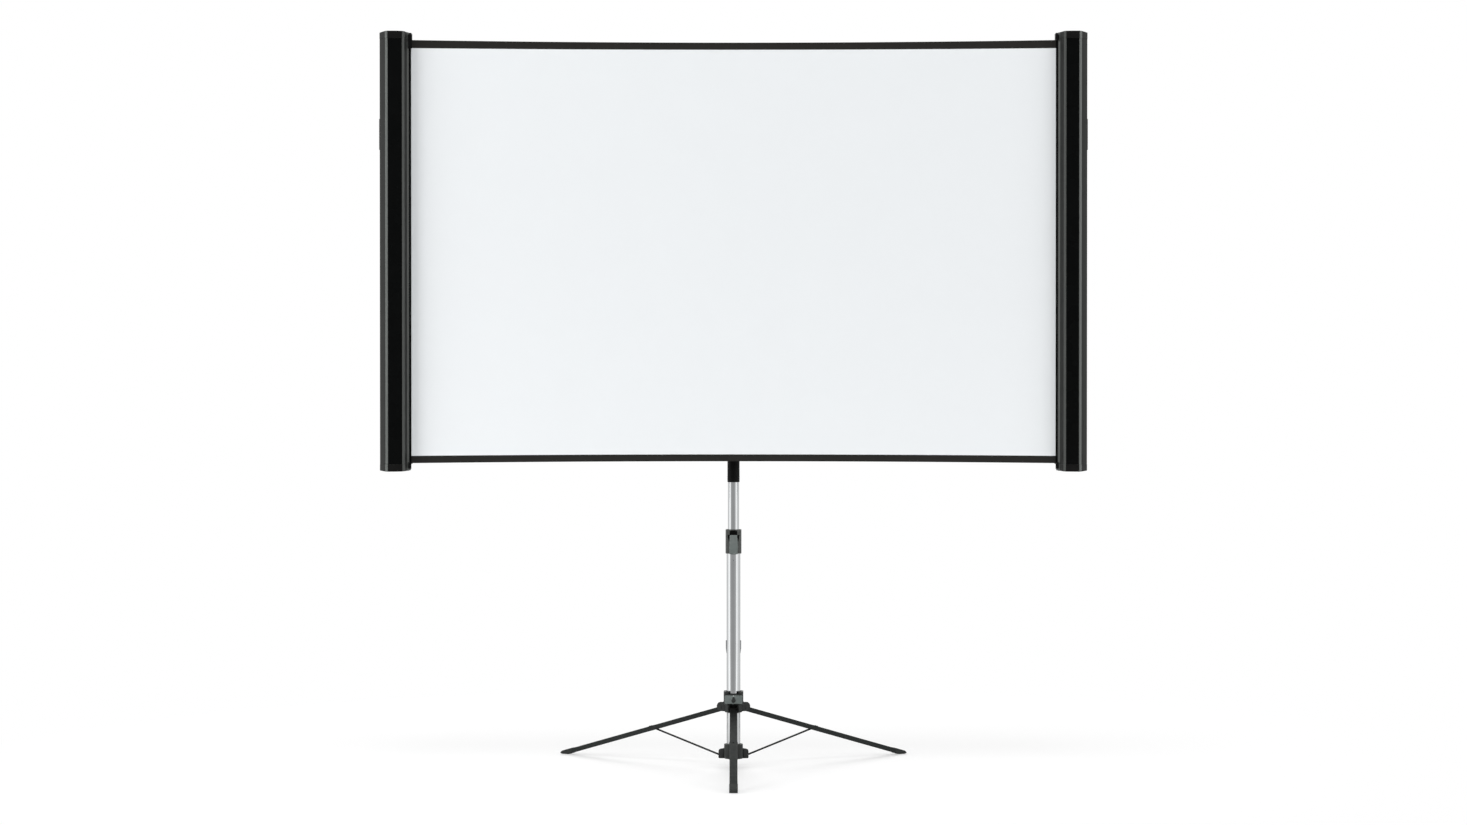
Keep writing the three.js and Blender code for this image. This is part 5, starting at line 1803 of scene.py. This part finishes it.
    def build(self) -> None:
        """Makes the collar, its wiper ring, the lever and the pin."""
        piece, top, bore = self.shop.piece, self.level[1], 15.2
        # Painted shade: the inside of the pocket takes the near-black finish.
        pocket = {"socket_moulding": self.pocket_painted_shade}
        piece("collar", self.collar(), "clamp_moulding", "stand", "clamp_collar", areas=pocket)
        corners = [(bore, top - 2.0), (18.2, top - 2.0), (17.6, top + 0.6), (bore, top + 0.6)]
        wiper = lathe(rounded(corners, 0.4, 3), sides=64, ring=True)
        piece("collar_wiper", wiper, "foot_moulding", "stand")
        piece("lever", self.lever(), "lever_moulding", "clamp_lever", "clamp_lever")
        pin = round_bar(1.5, -self.pin_half, self.pin_half, self.pin, Axis.X, 0.3, 24)
        piece("lever_pin", pin, "blackened_pin", "stand", "clamp_lever_pin")


# Directions of the legs about the pole, in degrees from +x.
LEGS = {"front": -90.0, "right": 30.0, "left": 150.0}


@dataclass
class Tripod:
    """The two hubs, three legs with their feet, and the three braces between them."""

    shop: Workshop
    pivot: float = 32.0
    hub_level: float = 156.0
    brace_level: float = 24.0
    reach: float = 551.0
    block: Pair = (167.5, 201.5)
    low_hub: Pair = (20.0, 59.0)
    sag: float = 0.28
    drop_top: float = 3.3

    PIN = 2.5
    LEG_HALF = 10.3
    LEG_WALL = 1.6
    FOOT_HALF = 10.9
    FOOT_LONG = 39.0
    FOOT_RISE = 8.9
    FOOT_DROP = 5.9
    COVER_FACE = -28.3
    DROP_HIGH = 11.6
    DROP_RADIUS = 5.0

    @property
    def slope(self) -> float:
        """A leg's angle below the horizon, in degrees."""
        return math.degrees(math.atan2(self.hub_level - 8.0, self.reach - 12.0 - self.pivot))

    @property
    def link(self) -> float:
        """Distance between a brace's two pivots."""
        return (self.hub_level - self.brace_level) / 2 / math.sin(math.radians(self.slope))

    def set_link(self, patch: Patch, azimuth: float, level: float, downward: float) -> Patch:
        """A link drawn along +x from its pivot, tilted and set on its hub.

        Args:
            patch: the link.
            azimuth: direction of its leg in degrees.
            level: height of its pivot.
            downward: its angle below the horizon in degrees.

        Returns:
            The surface in place.
        """
        tilted = patch.turned(Axis.Y, downward)
        return tilted.moved(x=self.pivot, z=level).turned(Axis.Z, azimuth)

    def leg(self) -> list[Patch]:
        """A leg: a channel open below, with round cheeks at its pivot."""
        length = (self.reach - 26.0 - self.pivot) / math.cos(math.radians(self.slope))
        half, wall, low, high = self.LEG_HALF, self.LEG_WALL, -4.6, 7.7
        path = rounded_path([(half, low), (half, high), (-half, high), (-half, low)], 1.8, 5)
        channel = slab(thickened(path, wall), 0.0, length, Axis.X, 0.2, strip=True)
        corners = [(2.0, -4.0), (2.0, 7.0), (-3.0, 7.0), (-7.0, 3.4), (-7.0, -0.6), (-4.4, -4.0)]
        cheek = rounded(corners, (0.5, 0.5, 2.0, 2.0, 1.6, 1.2), 4)
        cheeks = [slab(cheek, y, y + wall, Axis.Y, 0.3) for y in (-half, half - wall)]
        bar = [part.turned(Axis.Y, self.sag).moved(z=-self.drop_top) for part in (channel, *cheeks)]
        return [*bar, *self.heads(4.6, half, 1.0, (self.link, 0.0))]

    @staticmethod
    def heads(radius: float, face: float, rise: float, centre: Pair) -> list[Patch]:
        """A rivet's two heads, across y.

        Args:
            radius: their radius.
            face: distance of their faces from the middle.
            rise: how far they stand off.
            centre: their place in x and z.

        Returns:
            Two closed surfaces.
        """
        return [domed_head(radius, s * face, s * rise, centre, Axis.Y) for s in (-1, 1)]

    def brace(self) -> list[Patch]:
        """A brace: a flat bar with an eye at each end and the pin that holds its leg."""
        half, end = 2.5, (self.link, 0.0)
        bar = slab(rectangle((-half, half), (-2.0, 2.0), 0.6), 0.0, self.link, Axis.X, 0.2)
        eyes = [round_bar(4.8, -half, half, centre, Axis.Y) for centre in ((0.0, 0.0), end)]
        return [bar, *eyes, round_bar(self.PIN, -9.8, 9.8, end, Axis.Y)]

    def leg_line(self, r: float) -> float:
        """Height of the leg's own line at a distance from the pole."""
        fall = math.tan(math.radians(self.slope + self.sag))
        return self.hub_level - self.drop_top - (r - self.pivot) * fall

    def foot(self) -> list[Patch]:
        """A foot: a slim sleeve on the leg's end, cut by the floor to a flat ribbed sole."""
        tip, heel, half = self.reach, self.reach - self.FOOT_LONG, self.FOOT_HALF
        nose, instep = tip - 4.0, heel + 2.4
        corners = [
            (tip - 27.0, 1.0),
            (tip, 1.0),
            (tip, 4.2),
            (nose, self.leg_line(nose) + self.FOOT_RISE),
            (heel, self.leg_line(heel) + self.FOOT_RISE),
            (instep, self.leg_line(instep) - self.FOOT_DROP),
        ]
        outline = rounded(corners, (1.5, 1.2, 1.6, 4.0, 1.2, 1.4), 5)
        across = (0.5 - half, half - 0.5)
        treads = [
            box((r, r + 3.2), across, (0.0, 2.0), 0.4, 0.6)
            for r in np.arange(tip - 26.0, tip - 3.0, 4.8)
        ]
        return [slab(outline, -half, half, Axis.Y, 0.6), *treads]

    def build_legs(self) -> None:
        """Makes the legs, feet and braces."""
        piece, slope = self.shop.piece, self.slope
        for name, azimuth in LEGS.items():
            leg, brace = f"leg_{name}", f"brace_{name}"
            legs = [self.set_link(p, azimuth, self.hub_level, slope) for p in self.leg()]
            piece(f"leg_bar_{name}", legs, "leg_steel", leg, leg)
            braces = [self.set_link(p, azimuth, self.brace_level, -slope) for p in self.brace()]
            piece(f"brace_bar_{name}", braces, "black_steel", brace, brace)
            feet = [p.turned(Axis.Z, azimuth) for p in self.foot()]
            piece(f"foot_cap_{name}", feet, "leg_foot", leg, f"foot_{name}")

    def ears(self, level: float, radius: float, bounds: Pair, start: float) -> list[Patch]:
        """A pair of ears with round ends, slotted for a leg, along +x.

        Args:
            level: height of the round end's centre.
            radius: the end's radius.
            bounds: inner and outer faces of one ear.
            start: where the ears start from the pole's axis.

        Returns:
            Two closed surfaces.
        """
        end = arc((self.pivot, level), radius, -90, 90, 24)
        roots = ([[start, level - radius]], [[start, level + radius]])
        outline = without_repeats(np.vstack([roots[0], end, roots[1]]))
        inner, outer = bounds
        return [slab(outline, *span, Axis.Y, 0.7) for span in ((inner, outer), (-outer, -inner))]

    def clevis_painted_shade(self, centres: np.ndarray) -> np.ndarray:
        """Faces of the upper hub round the front leg's top, painted near-black as the shade under
        the block.
        """
        across, deep, high = np.abs(centres[:, 0]), centres[:, 1], centres[:, 2]
        return (deep < -22.0) & (across < 15.0) & (high < self.block[0] + 0.5)

    @staticmethod
    def in_ears(centres: np.ndarray) -> np.ndarray:
        """Faces of the lower hub outside its barrel, which are darker."""
        return np.hypot(centres[:, 0], centres[:, 1]) > 26.0

    def build_upper_hub(self) -> None:
        """Makes the upper hub: a square block with an open crest, a sleeve, ears and pins."""
        low, high = self.block
        half, bore_radius, notch, face = (26.5, 25.0), 21.3, high - 6.0, 14.0
        outline = rectangle((-half[0], half[0]), (-half[1], half[1]), 11.0, 8)
        bore = arc((0.0, 0.0), bore_radius, 0.0, 352.5, 47)
        patches = [
            ring_block(outline, bore, low, notch, (1.0, 0.0)),
            ring_block(outline, bore, notch, high, (0.0, 1.0), opening=70.0),
            tube(23.3, bore_radius, 145.2, low + 2.0, 0.4),
        ]
        centre = (self.pivot, self.hub_level)
        for name, azimuth in LEGS.items():
            level, radius = (156.0, 10.8) if name == "front" else (159.5, 12.5)
            ears = self.ears(level, radius, (10.5, face), 12.0)
            pin = round_bar(self.PIN, -face, face, centre, Axis.Y)
            heads = self.heads(4.2, face - 0.2, 1.2, centre)
            patches += [part.turned(Axis.Z, azimuth) for part in (*ears, pin, *heads)]
        # Painted shade: the front ears under the block take the near-black finish.
        clevis_shade_areas = {"socket_moulding": self.clevis_painted_shade}
        self.shop.piece("hub", patches, "hub_moulding", "hub", "upper_hub", areas=clevis_shade_areas)

    def build_cover(self) -> None:
        """Makes the cover plate, the button's well, which is a near-black ring of painted shade
        round the button, a small white pip that is a painted highlight, and the drop-shaped button.
        """
        piece, low, face = self.shop.piece, self.block[0] + 2.0, self.COVER_FACE
        outline = rectangle((-23.7, 23.7), (low, low + 23.0), 3.0)
        plate = slab(outline, face, face + 3.1, Axis.Y, (0.9, 0.1))
        piece("cover", plate, "cover_moulding", "hub", "hub_cover")
        level = low + 9.0
        # Painted shade: a near-black drop, a little larger than the button, stands for the dark gap
        # round it.
        well = slab(self.drop(0.6, level), face - 0.15, face + 1.3, Axis.Y, 0.1)
        piece("cover_well", well, "foot_moulding", "hub")
        # Painted highlight: a small white pip stands for a glint on the cover's top edge.
        glint_pip = domed_head(1.3, face, -0.35, (0.0, low + 21.2), Axis.Y)
        piece("cover_pip", glint_pip, "white_plastic", "hub")
        button = slab(self.drop(0.0, level), face - 1.45, face + 1.7, Axis.Y, (0.7, 0.1))
        piece("button", button, "button_moulding", "hub_button", "hub_button")

    def drop(self, grown: float, level: float) -> np.ndarray:
        """A drop's outline: a circle below, drawn to a point above.

        Args:
            grown: how much larger it is than the button.
            level: height of the circle's centre.

        Returns:
            The outline.
        """
        radius, high = self.DROP_RADIUS + grown, self.DROP_HIGH + grown
        flank = math.degrees(math.asin(radius / high))
        lower = arc((0.0, level), radius, 180.0 - flank, 360.0 + flank, 36)
        return np.vstack([lower, [[0.0, level + high]]])

    def build_lower_hub(self) -> None:
        """Makes the lower hub: a barrel, slotted ears and their pins, and the tube's plug."""
        low, high = self.low_hub
        root, half, outer = 20.0, 11.0, self.pivot + 9.0
        corners = [(root, low), (self.pivot, low - 1.0), (outer, low - 1.0), (outer, low + 25.0)]
        outline = rounded([*corners, (root, low + 26.0)], (1.4, 3.0, 3.0, 9.0, 1.4), 6)
        centre = (self.pivot, self.brace_level)
        ear = [slab(outline, a, b, Axis.Y, 0.8) for a, b in ((3.0, half), (-half, -3.0))]
        ear.append(slab(rectangle((root, 26.7), (low, low + 26.0), 0.7), -half, half, Axis.Y, 0.3))
        ear.append(round_bar(self.PIN, -half, half, centre, Axis.Y))
        ear += self.heads(3.6, half - 0.2, 1.0, centre)
        patches = [tube(25.3, 18.8, low, high, 1.0)]
        patches += [part.turned(Axis.Z, azimuth) for azimuth in LEGS.values() for part in ear]
        piece, ears = self.shop.piece, {"cap_moulding": self.in_ears}
        piece("hub_low", patches, "hub_moulding", "stand", "lower_hub", areas=ears)
        foot, top, radius = low + 1.0, low + 8.0, 17.6
        corners = [(0.0, foot), (radius, foot), (radius, top), (0.0, top)]
        plug = lathe(rounded_path(corners, 0.6))
        piece("foot_plug", plug, "foot_moulding", "stand", "tube_end_plug")

    def build(self) -> None:
        """Makes the whole tripod."""
        self.build_legs()
        self.build_upper_hub()
        self.build_cover()
        self.build_lower_hub()


@dataclass
class Studio:
    """The camera, the lamps, the world and the pale floor, all in metres."""

    pole_y: float
    lens: float = 74.1
    distance: float = 8.141
    height: float = 1.029
    pitch: float = 0.0093
    peak: float = 1.75
    surround: dict[float, float] = field(
        default_factory=lambda: {
            -180.0: 1.0,
            -160.0: 0.6,
            -125.0: 0.85,
            -98.0: 1.15,
            -82.0: 1.6,
            -66.0: 1.6,
            -55.0: 0.66,
            -40.0: 0.5,
            -20.0: 0.45,
            0.0: 0.44,
            20.0: 0.5,
            34.0: 0.58,
            46.0: 0.95,
            56.0: 1.7,
            64.0: 1.6,
            74.0: 1.05,
            100.0: 0.9,
            125.0: 0.85,
            160.0: 0.6,
            180.0: 1.0,
        }
    )

    WALL = 1.0
    AMBIENT = 0.38
    FLOOR_PALE = 0.93
    FLOOR_FADE = (0.7, 2.2)
    FLOOR_NEAR = 0.45
    FLOOR_RINGS = 24
    FLOOR_SIDES = 96
    FLOOR_RADII = (0.02, 2.8)
    FLOOR_LEVEL = -0.0006
    SENSOR = 36.0
    AIM = (0.0, 0.0, 1.0)

    def camera(self) -> None:
        """A level camera in front of the screen, pitched down by half a degree."""
        data = bpy.data.cameras.new("camera")
        data.lens, data.sensor_width = self.lens, self.SENSOR
        data.dof.use_dof = False
        camera = bpy.data.objects.new("camera", data)
        camera.location = (0.0, self.pole_y - self.distance, self.height)
        camera.rotation_euler = (math.pi / 2 - self.pitch, 0.0, 0.0)
        bpy.context.scene.collection.objects.link(camera)
        bpy.context.scene.camera = camera

    def lamp(self, name: str, place: Place, size: Pair, power: float) -> None:
        """A soft rectangular lamp that looks at the screen.

        Args:
            name: its name.
            place: where it stands.
            size: its width and height.
            power: its power in watts.
        """
        data = bpy.data.lights.new(name, "AREA")
        data.shape, data.size, data.size_y, data.energy = "RECTANGLE", *size, power
        lamp = bpy.data.objects.new(name, data)
        lamp.location = place
        direction = Vector((np.array(self.AIM) - np.array(place)).tolist())
        lamp.rotation_euler = direction.to_track_quat("-Z", "Y").to_euler()
        lamp.visible_glossy = False
        bpy.context.scene.collection.objects.link(lamp)

    def panels(self) -> bpy.types.NodeTree:
        """How bright the studio's walls look in gloss: two tall pale panels, dimmer between.

        Returns:
            A group that turns a direction or a place about the pole into a level.
        """
        tree = bpy.data.node_groups.new("studio_panels", "ShaderNodeTree")
        sockets = tree.interface
        sockets.new_socket(name="Vector", in_out="INPUT", socket_type="NodeSocketVector")
        sockets.new_socket(name="Level", in_out="OUTPUT", socket_type="NodeSocketFloat")
        graph = Graph(tree)
        source, sink = graph.add("NodeGroupInput"), graph.add("NodeGroupOutput")
        parts = graph.add("ShaderNodeSeparateXYZ", {0: source.outputs["Vector"]}).outputs
        azimuth = graph.math("ARCTAN2", parts[0], graph.times(parts[1], -1.0))
        turn = graph.plus(graph.times(azimuth, 0.5 / math.pi), 0.5)
        ramp = graph.add("ShaderNodeValToRGB", {0: turn})
        elements = ramp.color_ramp.elements
        while len(elements) < len(self.surround):
            elements.new(0.5)
        for element, (degrees, level) in zip(elements, sorted(self.surround.items())):
            element.position = degrees / 360.0 + 0.5
            element.color = (level / self.peak,) * 3 + (1.0,)
        graph.send(sink, {"Level": graph.times(ramp.outputs[0], self.peak)})
        return tree

    def world(self, panels: bpy.types.NodeTree) -> None:
        """A white surround for the camera, the panels for gloss, and even soft light otherwise.

        Args:
            panels: the group with the panels' levels.
        """
        world = bpy.data.worlds.new("studio")
        bpy.context.scene.world = world
        world.use_nodes = True
        graph = Graph(world.node_tree)
        world.node_tree.nodes.clear()
        path = graph.add("ShaderNodeLightPath").outputs
        direction = graph.add("ShaderNodeTexCoord").outputs["Generated"]
        level = graph.group(panels, Vector=direction).outputs["Level"]
        shown = graph.mix(path["Is Glossy Ray"], WHITE, level)
        seen = graph.math("MAXIMUM", path["Is Camera Ray"], path["Is Glossy Ray"])
        seen = graph.math("MAXIMUM", seen, path["Is Transmission Ray"])
        plain = graph.add("ShaderNodeBackground", {"Color": WHITE, "Strength": self.AMBIENT})
        white = graph.add("ShaderNodeBackground", {"Color": shown, "Strength": self.WALL})
        both = graph.add("ShaderNodeMixShader", {0: seen, 1: plain.outputs[0], 2: white.outputs[0]})
        graph.add("ShaderNodeOutputWorld", {"Surface": both.outputs[0]})

    def floor_mesh(self) -> bpy.types.Mesh:
        """A flat round sheet of rings, closed in the middle."""
        rings, sides = self.FLOOR_RINGS, self.FLOOR_SIDES
        angle = np.linspace(0.0, 2 * math.pi, sides, endpoint=False)
        radius = np.linspace(*self.FLOOR_RADII, rings)[:, None]
        level = np.full((rings, sides), self.FLOOR_LEVEL)
        points = np.stack([radius * np.cos(angle), radius * np.sin(angle), level], axis=-1)
        faces = [tuple(face) for face in grid_faces(rings, sides, False, True).tolist()]
        mesh = bpy.data.meshes.new("floor")
        mesh.from_pydata(points.reshape(-1, 3).tolist(), [], [*faces, tuple(range(sides))])
        return mesh

    def floor(self, panels: bpy.types.NodeTree) -> None:
        """A round floor that turns from a matt pale surface to plain white away from the feet.

        Args:
            panels: the group with the panels' levels, which gloss sees in the floor too.
        """
        mesh = self.floor_mesh()
        floor = bpy.data.objects.new("floor", mesh)
        bpy.context.scene.collection.objects.link(floor)
        material = bpy.data.materials.new("pale_floor")
        material.use_nodes = True
        graph = Graph(material.node_tree)
        material.node_tree.nodes.clear()
        place = graph.add("ShaderNodeTexCoord").outputs["Object"]
        distance = graph.add("ShaderNodeVectorMath", {0: place}, operation="LENGTH")
        away = graph.span(distance.outputs["Value"], *self.FLOOR_FADE)
        path = graph.add("ShaderNodeLightPath").outputs
        level = graph.group(panels, Vector=place).outputs["Level"]
        shown = graph.mix(path["Is Glossy Ray"], WHITE, level)
        fade = graph.plus(self.FLOOR_NEAR, graph.times(away, 1.0 - self.FLOOR_NEAR))
        share = graph.times(path["Is Camera Ray"], fade)
        share = graph.math("MAXIMUM", share, path["Is Glossy Ray"])
        pale = (self.FLOOR_PALE,) * 3 + (1.0,)
        matt = graph.add("ShaderNodeBsdfDiffuse", {"Color": pale})
        white = graph.add("ShaderNodeEmission", {"Color": shown, "Strength": self.WALL})
        both = graph.add("ShaderNodeMixShader", {0: share, 1: matt.outputs[0], 2: white.outputs[0]})
        graph.add("ShaderNodeOutputMaterial", {"Surface": both.outputs[0]})
        mesh.materials.append(material)

    def build(self) -> None:
        """Sets up the whole studio."""
        self.camera()
        panels = self.panels()
        self.world(panels)
        self.floor(panels)
        self.lamp("softbox_left", (-7.4, -2.7, 2.2), (4.0, 4.5), 440.0)
        self.lamp("softbox_right", (7.3, -3.1, 2.2), (4.0, 4.5), 250.0)
        self.lamp("softbox_top", (0.0, -2.5, 6.5), (3.0, 2.0), 97.0)
        self.lamp("softbox_back", (0.0, 6.5, 3.5), (4.0, 3.0), 400.0)
        bpy.context.scene.view_settings.view_transform = "Standard"


# Edges of the front strips outwards from the lips: the left strip is the wider one.
STRIP_INNER = {"right": 25.3, "left": 21.8}
STRIP_OUTER = 59.8


def main() -> None:
    """Builds every sub-assembly in order."""
    logging.basicConfig(level=logging.INFO, format="%(message)s")
    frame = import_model()
    shop = Workshop(frame)
    Fabric(shop).build()
    scissor = Scissor(shop)
    for side in SIDES:
        layers = {role: scissor.layer(role, side) for role in ("rising", "falling")}
        strip = (STRIP_INNER[side.name], STRIP_OUTER)
        Casing(shop, side, strip=strip, layers=layers).build()
    scissor.build()
    Pole(shop).build()
    HeightClamp(shop).build()
    Tripod(shop).build()
    for side in ("right", "left"):
        shop.dress("zinc_plate", f"roller_tube_{side}")
        shop.dress("black_backing_wound", f"wound_fabric_{side}")
        shop.dress("cap_moulding", f"roller_bearing_top_{side}", f"roller_bearing_bottom_{side}")
    Studio(shop.pole_y * MM).build()


if __name__ == "__main__":
    main()
